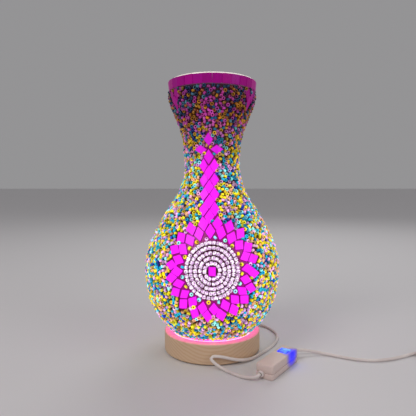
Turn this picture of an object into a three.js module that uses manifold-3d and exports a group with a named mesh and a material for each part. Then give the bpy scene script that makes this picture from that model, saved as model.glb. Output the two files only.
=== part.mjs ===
// Mosaic glass table lamp: a bead-and-tile covered glass vase standing on a lit wooden puck,
// with an inline push switch and a USB lead whose spare length is wound in a coil.
// Millimetres, +Z up, origin on the table under the middle of the base, front towards -Y.
import * as THREE from 'three';
import { mergeVertices } from 'three/addons/utils/BufferGeometryUtils.js';
import Module from 'manifold-3d';

const wasm = await Module();
wasm.setup();

// ---------------------------------------------------------------- driving dimensions
const GAP = 0.3;                  // clearance left between touching pieces

const BASE_RADIUS = 50;
const BASE_TOP = 21;
const BASE_BOTTOM = 1;            // the wood floats above the table on its feet
const WINDOW_RADIUS = 42;         // opening in the top that holds the diffuser
const CAVITY_RADIUS = 38;
const REBATE_RADIUS = 46;         // recess for the bottom cover
const REBATE_TOP = 4.2;
const LEDGE_Z = 17.7;
const COVER_BOTTOM = 1.4;
const COVER_TOP = 3.9;
const FOOT_HEIGHT = 1.1;
const FOOT_RADIUS = 5;
const FOOT_CIRCLE = 33;
const SCREW_CIRCLE = 42;
const SCREW_HOLE_RADIUS = 1.7;
const SCREW_HEAD_RADIUS = 2.9;
const GLAND_HOLE_RADIUS = 2.9;
const LED_BOARD = { radius: 33.5, bottom: COVER_TOP + GAP, thickness: 1.6 };
const LED_CIRCLE = 20;
const LED_COUNT = 6;
const LED_SIZE = [5, 5, 1.6];

const GLASS_WALL = 3;
const GLASS_FOOT_Z = BASE_TOP + 0.1;
const GLASS_TOP = 277.5;
const SKIN_INNER = 0.6;           // bead and tile backs, measured out from the glass
const SKIN_OUTER = 2.3;           // bead and tile faces
const ADHESIVE_GAP = 0.75;        // flat tile backs stand this far off the curved glass
const VASE_SEGMENTS = 32;

// Outside of the glass as radius and height, from the foot to the mouth.
const VASE_OUTLINE = [
  [40, 24], [47.2, 31.5], [55.2, 42.7], [61.4, 55.3], [65.7, 82], [62.2, 108.6], [46.3, 139.5],
  [35.0, 157], [28.9, 170], [25.6, 183], [24.9, 195], [27.8, 223], [38.2, 250.5], [42.4, 265], [43, GLASS_TOP],
];

const MEDALLION_TURNS = [0, 120, 240];
const MEDALLION_Z = 94.4;
const PETAL_COUNT = 20;
const INNER_PETAL = { tip: 26.3, tipNotch: 31.0, end: 39.6, endNotch: 33.7 };
const OUTER_PETAL = { tip: 35.2, tipNotch: 40.7, end: 47.8, endNotch: 42.2 };
const BEAD_DISC_RADIUS = 25.8;
const BEAD_DISC_HOLE = 6.4;
const CENTRE_TILE = [7.3, 8.5];

const CORD_RADIUS = 1.5;
const SWITCH_CENTRE = [61.4, -54.7];
const SWITCH_ANGLE = 54.9;        // long axis, degrees from +X
const SWITCH_SIZE = [54, 17, 13];
const SWITCH_PARTING = 5.4;
const BUTTON_OFFSET = 13;         // along the box from its middle
const BUTTON_SIZE = [11, 10];

const COIL_CENTRE = [229.5, -38];
const COIL_INNER = 10.5;
const COIL_OUTER = 22.5;
const COIL_FLOOR = 1.0;
const COIL_LAYERS = 2;

const lamp = new THREE.Group();

// ---------------------------------------------------------------- materials
const finish = (color, roughness, metalness = 0) => (
  new THREE.MeshStandardMaterial({ color, roughness, metalness })
);
const MATERIALS = {
  wood: finish(0xd9b893, 0.6),
  acrylic: finish(0xfbe9f5, 0.45),
  whitePlastic: finish(0xe9e2dc, 0.45),
  boardGreen: finish(0x2f6d4a, 0.55),
  ledPackage: finish(0xfff2b0, 0.35),
  steel: finish(0x9ea2a6, 0.35, 0.9),
  felt: finish(0x3b3836, 0.95),
  glass: finish(0xdfe6ea, 0.1),
  magentaGlass: finish(0xe81be0, 0.15),
  beadMix: finish(0xc9b545, 0.3),
  silverBeads: finish(0xe6d3ea, 0.25),
  cord: finish(0xe4dcd6, 0.55),
  blueLens: finish(0x3a5bff, 0.3),
  blackPlastic: finish(0x24242a, 0.5),
};

function add(name, geometry, material, parent = lamp) {
  const mesh = new THREE.Mesh(geometry, MATERIALS[material]);
  mesh.name = name;
  parent.add(mesh);
  return mesh;
}

// ---------------------------------------------------------------- geometry helpers
function toManifold(geometry) {
  const bare = geometry.clone();
  bare.deleteAttribute('normal');
  bare.deleteAttribute('uv');
  const merged = mergeVertices(bare, 1e-4);
  return new wasm.Manifold(new wasm.Mesh({
    numProp: 3,
    vertProperties: new Float32Array(merged.attributes.position.array),
    triVerts: new Uint32Array(merged.index.array),
  }));
}

function fromManifold(solid) {
  const mesh = solid.getMesh();
  const geometry = new THREE.BufferGeometry();
  geometry.setAttribute('position', new THREE.BufferAttribute(new Float32Array(mesh.vertProperties), 3));
  geometry.setIndex(new THREE.BufferAttribute(new Uint32Array(mesh.triVerts), 1));
  return geometry;
}

function cut(geometry, cutters) {
  let solid = toManifold(geometry);
  for (const cutter of cutters) {
    solid = solid.subtract(toManifold(cutter));
  }
  return fromManifold(solid);
}

// Solid of revolution about Z from [radius, height] pairs. The outline runs bottom to top on its outer side.
function turned(outline, segments = 48) {
  const points = outline.map(([r, z]) => new THREE.Vector2(r, z));
  return new THREE.LatheGeometry(points, segments).rotateX(Math.PI / 2);
}

// Rectangular ring of revolution.
function ring(inner, outer, bottom, top, segments = 48) {
  return turned([[inner, bottom], [outer, bottom], [outer, top], [inner, top], [inner, bottom]], segments);
}

function disc(radius, bottom, top, segments = 32) {
  return new THREE.CylinderGeometry(radius, radius, top - bottom, segments)
    .rotateX(Math.PI / 2)
    .translate(0, 0, (bottom + top) / 2);
}

function roundedRect(width, height, radius) {
  const shape = new THREE.Shape();
  const x = width / 2;
  const y = height / 2;
  shape.moveTo(-x + radius, -y);
  shape.lineTo(x - radius, -y);
  shape.absarc(x - radius, -y + radius, radius, -Math.PI / 2, 0, false);
  shape.lineTo(x, y - radius);
  shape.absarc(x - radius, y - radius, radius, 0, Math.PI / 2, false);
  shape.lineTo(-x + radius, y);
  shape.absarc(-x + radius, y - radius, radius, Math.PI / 2, Math.PI, false);
  shape.lineTo(-x, -y + radius);
  shape.absarc(-x + radius, -y + radius, radius, Math.PI, 1.5 * Math.PI, false);
  return shape;
}

// Upright slab with rounded corners between two heights.
function slab(width, height, radius, bottom, top, curveSegments = 3) {
  return new THREE.ExtrudeGeometry(roundedRect(width, height, radius), {
    depth: top - bottom, bevelEnabled: false, curveSegments,
  }).translate(0, 0, bottom);
}

// Round tube along a smooth curve through the given points.
function tube(points, radius, steps, sides = 8) {
  const circle = new THREE.Shape();
  for (let i = 0; i < sides; i += 1) {
    const angle = (2 * Math.PI * i) / sides;
    const corner = [radius * Math.cos(angle), radius * Math.sin(angle)];
    if (i === 0) circle.moveTo(...corner);
    else circle.lineTo(...corner);
  }
  const path = new THREE.CatmullRomCurve3(points.map((p) => new THREE.Vector3(...p)), false, 'centripetal');
  return new THREE.ExtrudeGeometry(circle, { steps, extrudePath: path, bevelEnabled: false });
}

// Places a geometry built about Z so that its +Z runs along a level direction at a given point.
function alongLevel(geometry, angleDegrees, point) {
  return geometry
    .rotateY(Math.PI / 2)
    .rotateZ(THREE.MathUtils.degToRad(angleDegrees))
    .translate(...point);
}

// ---------------------------------------------------------------- surface of the vase
const vaseSpline = new THREE.SplineCurve(VASE_OUTLINE.map(([r, z]) => new THREE.Vector2(r, z)));
const vaseSamples = vaseSpline.getPoints(400);

// Radius and outward normal (in the radius-height plane) of the glass at a height.
function vaseAt(z) {
  const height = THREE.MathUtils.clamp(z, vaseSamples[0].y, vaseSamples.at(-1).y);
  const upper = Math.max(1, vaseSamples.findIndex((p) => p.y >= height));
  const a = vaseSamples[upper - 1];
  const b = vaseSamples[upper];
  const radius = THREE.MathUtils.mapLinear(height, a.y, b.y, a.x, b.x);
  const slope = Math.hypot(b.x - a.x, b.y - a.y);
  return { radius, normal: [(b.y - a.y) / slope, -(b.x - a.x) / slope] };
}

// Point on the vase: x is the distance round the bead surface from the turn angle, z the height.
function onVase(x, z, out, turnDegrees) {
  const { radius, normal } = vaseAt(z);
  const angle = THREE.MathUtils.degToRad(turnDegrees) + x / (radius + SKIN_OUTER);
  const r = radius + out * normal[0];
  return [r * Math.sin(angle), -r * Math.cos(angle), z + out * normal[1]];
}

// Closed curved slab on the vase. Each row is a loop (or open line) of [x, z] with the same count.
function patch(rows, closedRows, inner, outer, turnDegrees) {
  const positions = [];
  const index = [];
  const count = rows[0].length;
  const vertex = (side, row, i) => (side * rows.length + row) * count + (closedRows ? (i + count) % count : i);
  for (const out of [inner, outer]) {
    for (const row of rows) {
      for (const [x, z] of row) {
        positions.push(...onVase(x, z, out, turnDegrees));
      }
    }
  }
  const quad = (a, b, c, d) => index.push(a, b, c, a, c, d);
  const spans = closedRows ? count : count - 1;
  const last = rows.length - 1;
  for (let i = 0; i < spans; i += 1) {
    for (let row = 0; row < last; row += 1) {
      quad(vertex(1, row, i), vertex(1, row, i + 1), vertex(1, row + 1, i + 1), vertex(1, row + 1, i));
      quad(vertex(0, row, i), vertex(0, row + 1, i), vertex(0, row + 1, i + 1), vertex(0, row, i + 1));
    }
    quad(vertex(0, 0, i), vertex(0, 0, i + 1), vertex(1, 0, i + 1), vertex(1, 0, i));
    quad(vertex(0, last, i), vertex(1, last, i), vertex(1, last, i + 1), vertex(0, last, i + 1));
  }
  if (!closedRows) {
    for (let row = 0; row < last; row += 1) {
      quad(vertex(0, row, 0), vertex(1, row, 0), vertex(1, row + 1, 0), vertex(0, row + 1, 0));
      quad(vertex(0, row, spans), vertex(0, row + 1, spans), vertex(1, row + 1, spans), vertex(1, row, spans));
    }
  }
  const geometry = new THREE.BufferGeometry();
  geometry.setAttribute('position', new THREE.Float32BufferAttribute(positions, 3));
  geometry.setIndex(index);
  return geometry;
}

// Closed loop about the middle of a medallion; the radius may alternate from step to step.
function loopRound(steps, evenRadius, oddRadius = evenRadius) {
  return Array.from({ length: steps }, (_, i) => {
    const angle = (2 * Math.PI * i) / steps;
    const radius = i % 2 === 0 ? evenRadius : oddRadius;
    return [radius * Math.sin(angle), MEDALLION_Z + radius * Math.cos(angle)];
  });
}

// Star-shaped loop with a tip or a notch at each petal.
const starLoop = (evenRadius, oddRadius) => loopRound(2 * PETAL_COUNT, evenRadius, oddRadius);

// ---------------------------------------------------------------- wooden base
const base = new THREE.Group();
lamp.add(base);
const GLAND_ANGLE = 62;           // rear right, degrees from +X
const GLAND_Z = 10;

function onCircle(radius, degrees, z) {
  const angle = THREE.MathUtils.degToRad(degrees);
  return [radius * Math.cos(angle), radius * Math.sin(angle), z];
}

function screwHole(radius, degrees, bottom, top) {
  return disc(radius, bottom, top, 12).translate(...onCircle(SCREW_CIRCLE, degrees, 0));
}

const SCREW_TURNS = [90, 210, 330];
const puck = turned([
  [REBATE_RADIUS, BASE_BOTTOM], [48.8, BASE_BOTTOM], [BASE_RADIUS, 2.2], [BASE_RADIUS, 19.2],
  [49.5, 20.5], [48.2, BASE_TOP], [WINDOW_RADIUS, BASE_TOP], [WINDOW_RADIUS, LEDGE_Z],
  [CAVITY_RADIUS, LEDGE_Z], [CAVITY_RADIUS, REBATE_TOP], [REBATE_RADIUS, REBATE_TOP],
  [REBATE_RADIUS, BASE_BOTTOM],
], 48);
const glandHole = alongLevel(
  disc(GLAND_HOLE_RADIUS, 0, 20, 16), GLAND_ANGLE, onCircle(34, GLAND_ANGLE, GLAND_Z),
);
add('base_body', cut(puck, [
  glandHole, ...SCREW_TURNS.map((degrees) => screwHole(SCREW_HOLE_RADIUS, degrees, REBATE_TOP - 1, 13.5)),
]), 'wood', base);

add('diffuser', disc(WINDOW_RADIUS - GAP, LEDGE_Z + GAP, BASE_TOP - 0.2, 48), 'acrylic', base);
add('reflector_cup', turned([
  [27, 6.4], [27.9, 6.4], [36.6, 16.6], [36.6, 17.4], [35.6, 17.4], [27, 7.4], [27, 6.4],
], 24), 'whitePlastic', base);
const boardTop = LED_BOARD.bottom + LED_BOARD.thickness;
add('led_board', disc(LED_BOARD.radius, LED_BOARD.bottom, boardTop, 24), 'boardGreen', base);
for (let i = 0; i < LED_COUNT; i += 1) {
  const turn = (360 * i) / LED_COUNT + 30;
  const mesh = add(`led_${i + 1}`, new THREE.BoxGeometry(...LED_SIZE), 'ledPackage', base);
  mesh.position.set(...onCircle(LED_CIRCLE, turn, boardTop + GAP + LED_SIZE[2] / 2));
  mesh.rotation.z = THREE.MathUtils.degToRad(turn);
}
const coverPlate = disc(REBATE_RADIUS - 0.5, COVER_BOTTOM, COVER_TOP, 36);
add('bottom_cover', cut(coverPlate, SCREW_TURNS.flatMap((degrees) => [
  screwHole(SCREW_HOLE_RADIUS, degrees, 0, 6), screwHole(SCREW_HEAD_RADIUS + 0.5, degrees, 0, 2.9),
])), 'blackPlastic', base);
SCREW_TURNS.forEach((degrees, i) => {
  const screw = turned([
    [0, 1.5], [SCREW_HEAD_RADIUS, 1.5], [SCREW_HEAD_RADIUS, 2.5], [1.35, 2.6], [1.35, 12.2], [0, 13],
  ], 12);
  add(`cover_screw_${i + 1}`, screw, 'steel', base).position.set(...onCircle(SCREW_CIRCLE, degrees, 0));
});
for (let i = 0; i < 4; i += 1) {
  add(`foot_${i + 1}`, disc(FOOT_RADIUS, 0, FOOT_HEIGHT, 16), 'felt', base)
    .position.set(...onCircle(FOOT_CIRCLE, 45 + 90 * i, 0));
}
const glandBody = turned([
  [1.85, -13.1], [3.4, -13.1], [3.4, -12.6], [2.5, -12.6], [2.5, 0.4], [3.6, 0.4], [3.6, 1.6],
  [3.0, 2.6], [2.3, 9], [1.85, 9], [1.85, -13.1],
], 12);
add('cord_gland', alongLevel(glandBody, GLAND_ANGLE, onCircle(BASE_RADIUS, GLAND_ANGLE, GLAND_Z)),
  'cord', base);
add('inner_lead', tube([
  onCircle(58.6, GLAND_ANGLE, GLAND_Z), onCircle(46, GLAND_ANGLE, GLAND_Z),
  onCircle(37.2, GLAND_ANGLE, GLAND_Z), onCircle(34.6, GLAND_ANGLE, 9.3), onCircle(32.4, GLAND_ANGLE, 7.9),
], CORD_RADIUS, 8), 'cord', base);

// ---------------------------------------------------------------- glass vase
const shade = new THREE.Group();
lamp.add(shade);

// Heights at which the wall is stepped, closer where it curves more.
const WALL_HEIGHTS = [31, 42, 55, 68, 82, 96, 110, 126, 142, 157, 171, 187, 204, 222, 240, 256];

function glassVase() {
  const outer = WALL_HEIGHTS.map((z) => [vaseAt(z).radius, z]);
  const inner = WALL_HEIGHTS.slice(1).map((z) => {
    const { radius, normal } = vaseAt(z);
    return [radius - GLASS_WALL * normal[0], z - GLASS_WALL * normal[1]];
  });
  inner.reverse();
  return turned([
    [0, GLASS_FOOT_Z + 1.2], [30, GLASS_FOOT_Z + 1.2], [33.5, GLASS_FOOT_Z], [38.2, GLASS_FOOT_Z], [40, 24],
    ...outer, [43, GLASS_TOP], [40.2, GLASS_TOP], ...inner, [38, 26.5], [0, 26.5],
  ], VASE_SEGMENTS);
}
add('glass_vase', glassVase(), 'glass', shade);

// ---------------------------------------------------------------- mosaic skin
// Neck column of diamonds: left and right edge of the joined tiles at each height.
const COLUMN_EDGES = [
  [148, -6.2, 1.0], [154.5, -9.6, 4.4], [161.5, -7.8, 2.6], [168.5, -9.9, 4.0], [175.5, -8.2, 2.4],
  [183.5, -10.2, 3.8], [191, -8.6, 2.2], [199, -10.4, 3.4], [203.5, -18.2, 10.8], [209, -17.6, 10.4],
  [213, -10.0, 3.0], [221.5, -4.4, -2.8],
];
// Hanging pendant under the rim.
const PENDANT_EDGES = [[245, -0.8, 0.8], [250, -3.4, 3.4], [257, -6.2, 6.2], [264.5, -8, 8]];
const PENDANT_TURNS = [60, 180, 300];

function edgePatch(edges, grow, inner, outer, turnDegrees, across = 4) {
  const rows = edges.map(([z, left, right], i) => {
    const end = i === 0 ? -grow : (i === edges.length - 1 ? grow : 0);
    return Array.from({ length: across + 1 }, (_, step) => (
      [THREE.MathUtils.lerp(left - grow, right + grow, step / across), z + end]
    ));
  });
  return patch(rows, false, inner, outer, turnDegrees);
}

function medallionCutter(turnDegrees) {
  const core = starLoop(0.5, 0.5);
  const mid = starLoop(24, 24);
  const rim = starLoop(OUTER_PETAL.endNotch + 0.7, OUTER_PETAL.end + 0.5);
  const solidRing = toManifold(patch([core, mid, rim], true, -1, 5, turnDegrees));
  const plug = toManifold(patch([
    [[-3, MEDALLION_Z - 3], [3, MEDALLION_Z - 3]], [[-3, MEDALLION_Z + 3], [3, MEDALLION_Z + 3]],
  ], false, -1, 5, turnDegrees));
  return fromManifold(solidRing.add(plug));
}

function beadField() {
  const heights = [25, ...WALL_HEIGHTS, 265.8];
  const side = (out) => heights.map((z) => {
    const { radius, normal } = vaseAt(z);
    return [radius + out * normal[0], z + out * normal[1]];
  });
  const profile = [...side(SKIN_OUTER), ...side(SKIN_INNER).reverse()];
  const skin = turned([...profile, profile[0]], VASE_SEGMENTS);
  const cutters = [];
  for (const turn of MEDALLION_TURNS) {
    cutters.push(medallionCutter(turn));
    cutters.push(edgePatch(COLUMN_EDGES, 0.45, -1, 5, turn, 3));
  }
  for (const turn of PENDANT_TURNS) {
    cutters.push(edgePatch(PENDANT_EDGES, 0.45, -1, 5, turn, 2));
  }
  return cut(skin, cutters);
}
add('bead_field', beadField(), 'beadMix', shade);

const MEDALLION_NAMES = ['front', 'right', 'left'];
MEDALLION_TURNS.forEach((turn, i) => {
  const name = MEDALLION_NAMES[i];
  const [tileWidth, tileHeight] = CENTRE_TILE;
  const centreRows = [-1, 1].map((side) => [
    [-tileWidth / 2, MEDALLION_Z + (side * tileHeight) / 2],
    [tileWidth / 2, MEDALLION_Z + (side * tileHeight) / 2],
  ]);
  add(`centre_tile_${name}`, patch(centreRows, false, ADHESIVE_GAP, SKIN_OUTER, turn), 'magentaGlass', shade);
  add(`bead_disc_${name}`, patch([
    loopRound(24, BEAD_DISC_HOLE), loopRound(24, 16), loopRound(24, BEAD_DISC_RADIUS),
  ], true, ADHESIVE_GAP, SKIN_OUTER, turn), 'silverBeads', shade);
  add(`inner_petals_${name}`, patch([
    starLoop(INNER_PETAL.tip, INNER_PETAL.tipNotch), starLoop(INNER_PETAL.end, INNER_PETAL.endNotch),
  ], true, ADHESIVE_GAP, SKIN_OUTER, turn), 'magentaGlass', shade);
  add(`outer_petals_${name}`, patch([
    starLoop(OUTER_PETAL.tipNotch, OUTER_PETAL.tip), starLoop(OUTER_PETAL.endNotch, OUTER_PETAL.end),
  ], true, ADHESIVE_GAP, SKIN_OUTER, turn), 'magentaGlass', shade);
  add(`neck_column_${name}`, edgePatch(COLUMN_EDGES, 0, ADHESIVE_GAP, SKIN_OUTER, turn),
    'magentaGlass', shade);
});
PENDANT_TURNS.forEach((turn, i) => {
  add(`rim_pendant_${i + 1}`, edgePatch(PENDANT_EDGES, 0, ADHESIVE_GAP, SKIN_OUTER, turn, 2),
    'magentaGlass', shade);
});

// Band of thirty upright tiles round the mouth, with a shallow seam between neighbours.
function rimBand() {
  const tiles = 30;
  const bottom = 267;
  const top = 276.4;
  const shape = new THREE.Shape();
  const hole = new THREE.Path();
  const seam = [[0, 44.5], [0.05, 45.3], [0.95, 45.3]];
  for (let i = 0; i < 3 * tiles; i += 1) {
    const [across, radius] = seam[i % 3];
    const angle = (2 * Math.PI * (Math.floor(i / 3) + across)) / tiles;
    const corner = [radius * Math.cos(angle), radius * Math.sin(angle)];
    if (i === 0) shape.moveTo(...corner);
    else shape.lineTo(...corner);
  }
  for (let i = 0; i < tiles; i += 1) {
    const angle = (-2 * Math.PI * i) / tiles;
    const corner = [43.6 * Math.cos(angle), 43.6 * Math.sin(angle)];
    if (i === 0) hole.moveTo(...corner);
    else hole.lineTo(...corner);
  }
  shape.holes.push(hole);
  return new THREE.ExtrudeGeometry(shape, { depth: top - bottom, bevelEnabled: false })
    .translate(0, 0, bottom);
}
add('rim_tile_band', rimBand(), 'magentaGlass', shade);

// ---------------------------------------------------------------- inline switch
const switchBox = new THREE.Group();
switchBox.position.set(SWITCH_CENTRE[0], SWITCH_CENTRE[1], 0);
switchBox.rotation.z = THREE.MathUtils.degToRad(SWITCH_ANGLE);
lamp.add(switchBox);

const [SWITCH_LENGTH, SWITCH_WIDTH, SWITCH_HEIGHT] = SWITCH_SIZE;
const SWITCH_WALL = 1.6;
const NEAR_CORD_OFFSET = 2.6;     // the near cord enters left of the middle
const NEAR_CORD_Z = 4.6;
const FAR_CORD_OFFSET = -1.5;
const FAR_CORD_Z = 6.2;

// Hole along the box axis for a cord bush.
function bushHole(end, offset, z) {
  return new THREE.CylinderGeometry(2.6, 2.6, 8, 16)
    .rotateZ(Math.PI / 2)
    .translate((end * SWITCH_LENGTH) / 2, offset, z);
}

function shellHalf(bottom, top, floor, roof) {
  const outside = slab(SWITCH_LENGTH, SWITCH_WIDTH, 3, bottom, top);
  const inside = slab(SWITCH_LENGTH - 2 * SWITCH_WALL, SWITCH_WIDTH - 2 * SWITCH_WALL, 1.6, floor, roof);
  return cut(outside, [
    inside, bushHole(-1, NEAR_CORD_OFFSET, NEAR_CORD_Z), bushHole(1, FAR_CORD_OFFSET, FAR_CORD_Z),
  ]);
}
const tray = shellHalf(0, SWITCH_PARTING, SWITCH_WALL, SWITCH_PARTING + 1);
add('switch_lower_shell', tray, 'whitePlastic', switchBox);
const lid = shellHalf(SWITCH_PARTING + GAP, SWITCH_HEIGHT, SWITCH_PARTING - 1, SWITCH_HEIGHT - SWITCH_WALL);
const buttonHole = slab(BUTTON_SIZE[0] + 0.8, BUTTON_SIZE[1] + 0.8, 1.6, SWITCH_HEIGHT - 3, SWITCH_HEIGHT + 1)
  .translate(BUTTON_OFFSET, 0, 0);
add('switch_upper_shell', cut(lid, [buttonHole]), 'whitePlastic', switchBox);
add('switch_board', slab(34, 12, 0.6, 5.0, 6.4, 1).translate(2, 0, 0), 'boardGreen', switchBox);
add('tact_switch', slab(6, 6, 0.4, 6.7, 9.4, 1).translate(BUTTON_OFFSET, 0, 0), 'blackPlastic', switchBox);
add('indicator_led', slab(3, 2, 0.2, 6.7, 7.9, 1).translate(BUTTON_OFFSET + 5.2, 0, 0), 'blueLens', switchBox);
const buttonHead = slab(BUTTON_SIZE[0], BUTTON_SIZE[1], 1.3, SWITCH_HEIGHT - 2.6, SWITCH_HEIGHT + 0.5);
add('switch_button', buttonHead.translate(BUTTON_OFFSET, 0, 0), 'blueLens', switchBox);

// Moulded bush round the cord where it enters an end of the box.
function bush(end, offset, z) {
  const profile = [[1.8, -2.4], [2.3, -2.4], [2.3, 0.4], [2.9, 0.4], [2.4, 2.6], [1.8, 2.6], [1.8, -2.4]];
  return turned(profile, 16)
    .rotateY((end * Math.PI) / 2)
    .translate((end * SWITCH_LENGTH) / 2, offset, z);
}
add('switch_bush_near', bush(-1, NEAR_CORD_OFFSET, NEAR_CORD_Z), 'cord', switchBox);
add('switch_bush_far', bush(1, FAR_CORD_OFFSET, FAR_CORD_Z), 'cord', switchBox);

// ---------------------------------------------------------------- cords
// From the base gland round the front of the base to the switch.
const CORD_TO_SWITCH = [
  [27.8, 52.3, 10.0], [30.6, 57.6, 9.6], [35.2, 63.4, 8.0], [42.0, 67.6, 5.6], [50.5, 68.4, 3.4],
  [59.0, 65.6, 2.0], [66.0, 58.6, 1.6], [70.6, 48.4, 1.5], [73.6, 37.0, 1.5], [73.4, 26.0, 1.5],
  [70.2, 13.4, 1.5], [65.6, 2.6, 1.5], [60.4, -6.4, 1.5], [55.0, -14.2, 1.5], [49.4, -21.6, 1.5],
  [43.9, -29.0, 1.5], [37.8, -36.6, 2.1], [31.8, -41.9, 3.2], [25.7, -45.9, 4.7], [18.0, -49.4, 7.2],
  [11.7, -51.3, 9.4], [4.8, -52.5, 10.8], [0.6, -53.2, 10.9], [-1.1, -54.0, 9.4], [0.8, -55.0, 6.9],
  [4.8, -56.6, 4.1], [10.9, -60.4, 1.8], [17.4, -67.0, 1.5], [23.8, -72.8, 1.5], [30.4, -77.6, 2.0],
  [36.8, -80.4, 3.3], [40.2, -79.4, 4.3], [42.0, -77.4, 4.6],
];
// From the switch out to where the coil begins.
const CORD_TO_COIL = [
  [79.9, -30.6, 6.2], [82.2, -27.6, 6.2], [86.4, -24.4, 6.0], [93.0, -22.6, 5.2], [101.0, -22.0, 3.8],
  [109.4, -22.6, 2.4], [117.8, -25.2, 1.7], [127.6, -30.4, 1.5], [138.4, -35.8, 1.5], [150.0, -38.9, 1.5],
  [163.0, -39.0, 1.5], [176.0, -35.8, 1.5], [189.0, -30.2, 1.5], [201.0, -24.2, 1.7], [212.2, -20.8, 2.4],
];
// From the coil round to the plug that lies beside it.
const CORD_TO_PLUG = [
  [236.8, -13.6, 5.4], [243.6, -14.4, 5.0], [250.4, -18.2, 4.3], [255.4, -24.8, 4.0], [257.8, -32.6, 4.0],
  [258.2, -37.4, 4.0],
];
add('cord_to_switch', tube(CORD_TO_SWITCH, CORD_RADIUS, 34), 'cord');
add('cord_to_coil', tube(CORD_TO_COIL, CORD_RADIUS, 18), 'cord');
add('cord_to_plug', tube(CORD_TO_PLUG, CORD_RADIUS, 8), 'cord');
const coilTop = COIL_FLOOR + COIL_LAYERS * 2 * CORD_RADIUS;
add('cord_coil', ring(COIL_INNER, COIL_OUTER, COIL_FLOOR, coilTop, 28), 'cord')
  .position.set(COIL_CENTRE[0], COIL_CENTRE[1], 0);

// Flat tie looped round the cross-section of the coil.
function coilTie() {
  const wall = COIL_FLOOR - GAP - 0.1;
  const width = COIL_OUTER - COIL_INNER + 2 * (GAP + wall) + 0.4;
  const height = coilTop + GAP + wall;
  const loop = roundedRect(width, height, 1.2);
  loop.holes.push(roundedRect(width - 2 * wall, height - 2 * wall, 0.5));
  return new THREE.ExtrudeGeometry(loop, { depth: 5, bevelEnabled: false, curveSegments: 2 })
    .translate(0, 0, -2.5)
    .rotateX(Math.PI / 2)
    .translate((COIL_INNER + COIL_OUTER) / 2, 0, height / 2)
    .rotateZ(THREE.MathUtils.degToRad(-60));
}
add('cord_tie', coilTie(), 'blackPlastic').position.set(COIL_CENTRE[0], COIL_CENTRE[1], 0);

// ---------------------------------------------------------------- USB plug
const plug = new THREE.Group();
plug.position.set(258.2, -37.7, 4.0);
plug.rotation.z = -Math.PI / 2;
lamp.add(plug);

const PLUG_BODY = [22, 15, 8];
const PLUG_SHELL = [12, 12, 4.5];
const RELIEF_LENGTH = 9;

function alongX(shape, length, start) {
  return new THREE.ExtrudeGeometry(shape, { depth: length, bevelEnabled: false, curveSegments: 3 })
    .rotateX(Math.PI / 2)
    .rotateZ(Math.PI / 2)
    .translate(start, 0, 0);
}
add('plug_relief', turned([[0, 0], [1.9, 0], [3.1, RELIEF_LENGTH - 0.3], [0, RELIEF_LENGTH - 0.3]], 16)
  .rotateY(Math.PI / 2), 'cord', plug);
add('plug_body', alongX(roundedRect(PLUG_BODY[1], PLUG_BODY[2] - 0.2, 2), PLUG_BODY[0], RELIEF_LENGTH),
  'whitePlastic', plug);
const shellOutline = roundedRect(PLUG_SHELL[1], PLUG_SHELL[2], 0.5);
shellOutline.holes.push(roundedRect(PLUG_SHELL[1] - 0.8, PLUG_SHELL[2] - 0.8, 0.3));
const shellStart = RELIEF_LENGTH + PLUG_BODY[0] + GAP;
add('plug_shell', alongX(shellOutline, PLUG_SHELL[0], shellStart), 'steel', plug);
add('plug_tongue', new THREE.BoxGeometry(PLUG_SHELL[0] - 0.6, PLUG_SHELL[1] - 2, 1.5)
  .translate(shellStart + PLUG_SHELL[0] / 2 - 0.1, 0, 0.9), 'blackPlastic', plug);

export default lamp;
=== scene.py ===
# Mosaic glass table lamp: the looks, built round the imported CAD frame. Metres, +Z up, front towards -Y.
import math

import bpy
import numpy as np
from mathutils import Matrix, Vector
from mathutils.kdtree import KDTree


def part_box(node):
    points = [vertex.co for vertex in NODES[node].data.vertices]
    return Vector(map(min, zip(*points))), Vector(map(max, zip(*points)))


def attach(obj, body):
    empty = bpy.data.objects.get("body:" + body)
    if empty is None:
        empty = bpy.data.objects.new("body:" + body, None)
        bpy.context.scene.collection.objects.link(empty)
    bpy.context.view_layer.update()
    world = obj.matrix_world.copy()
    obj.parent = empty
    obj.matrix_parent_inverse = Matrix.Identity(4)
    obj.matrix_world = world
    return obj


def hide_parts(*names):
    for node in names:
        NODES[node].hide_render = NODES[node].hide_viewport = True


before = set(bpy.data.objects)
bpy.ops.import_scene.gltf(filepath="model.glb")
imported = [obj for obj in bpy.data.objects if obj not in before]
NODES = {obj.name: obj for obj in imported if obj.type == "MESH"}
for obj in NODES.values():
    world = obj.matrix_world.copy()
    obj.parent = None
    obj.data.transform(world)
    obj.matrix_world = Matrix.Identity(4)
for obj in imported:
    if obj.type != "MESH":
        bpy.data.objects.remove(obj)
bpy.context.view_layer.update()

TAU = 2 * math.pi
SIDES = ("front", "right", "left")
TURNS = {"front": 0.0, "right": TAU / 3, "left": 2 * TAU / 3}

# ------------------------------------------------------------------ stage, camera and light
CAMERA_PLACE = (0.0, -0.4514, 0.1731)
CAMERA_PITCH = math.radians(3.2)
CAMERA_LENS = 37.43
CAMERA_SHIFT = -0.0101            # sets the vase a little right of the middle, as it is framed


def linked(name, data):
    """A new object in the scene."""
    made = bpy.data.objects.new(name, data)
    bpy.context.scene.collection.objects.link(made)
    return made


def make_camera():
    data = bpy.data.cameras.new("camera")
    data.lens = CAMERA_LENS
    data.sensor_width = 36
    data.shift_x = CAMERA_SHIFT
    data.clip_start = 0.01
    camera = linked("camera", data)
    camera.location = CAMERA_PLACE
    camera.rotation_euler = (math.radians(90) - CAMERA_PITCH, 0, 0)
    bpy.context.scene.camera = camera


def area_light(name, place, target, size, power, color=(1, 1, 1)):
    data = bpy.data.lights.new(name, "AREA")
    data.shape = "DISK"
    data.size = size
    data.energy = power
    data.color = color
    lamp = linked(name, data)
    lamp.location = place
    lamp.rotation_euler = (Vector(target) - Vector(place)).to_track_quat("-Z", "Y").to_euler()


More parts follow.
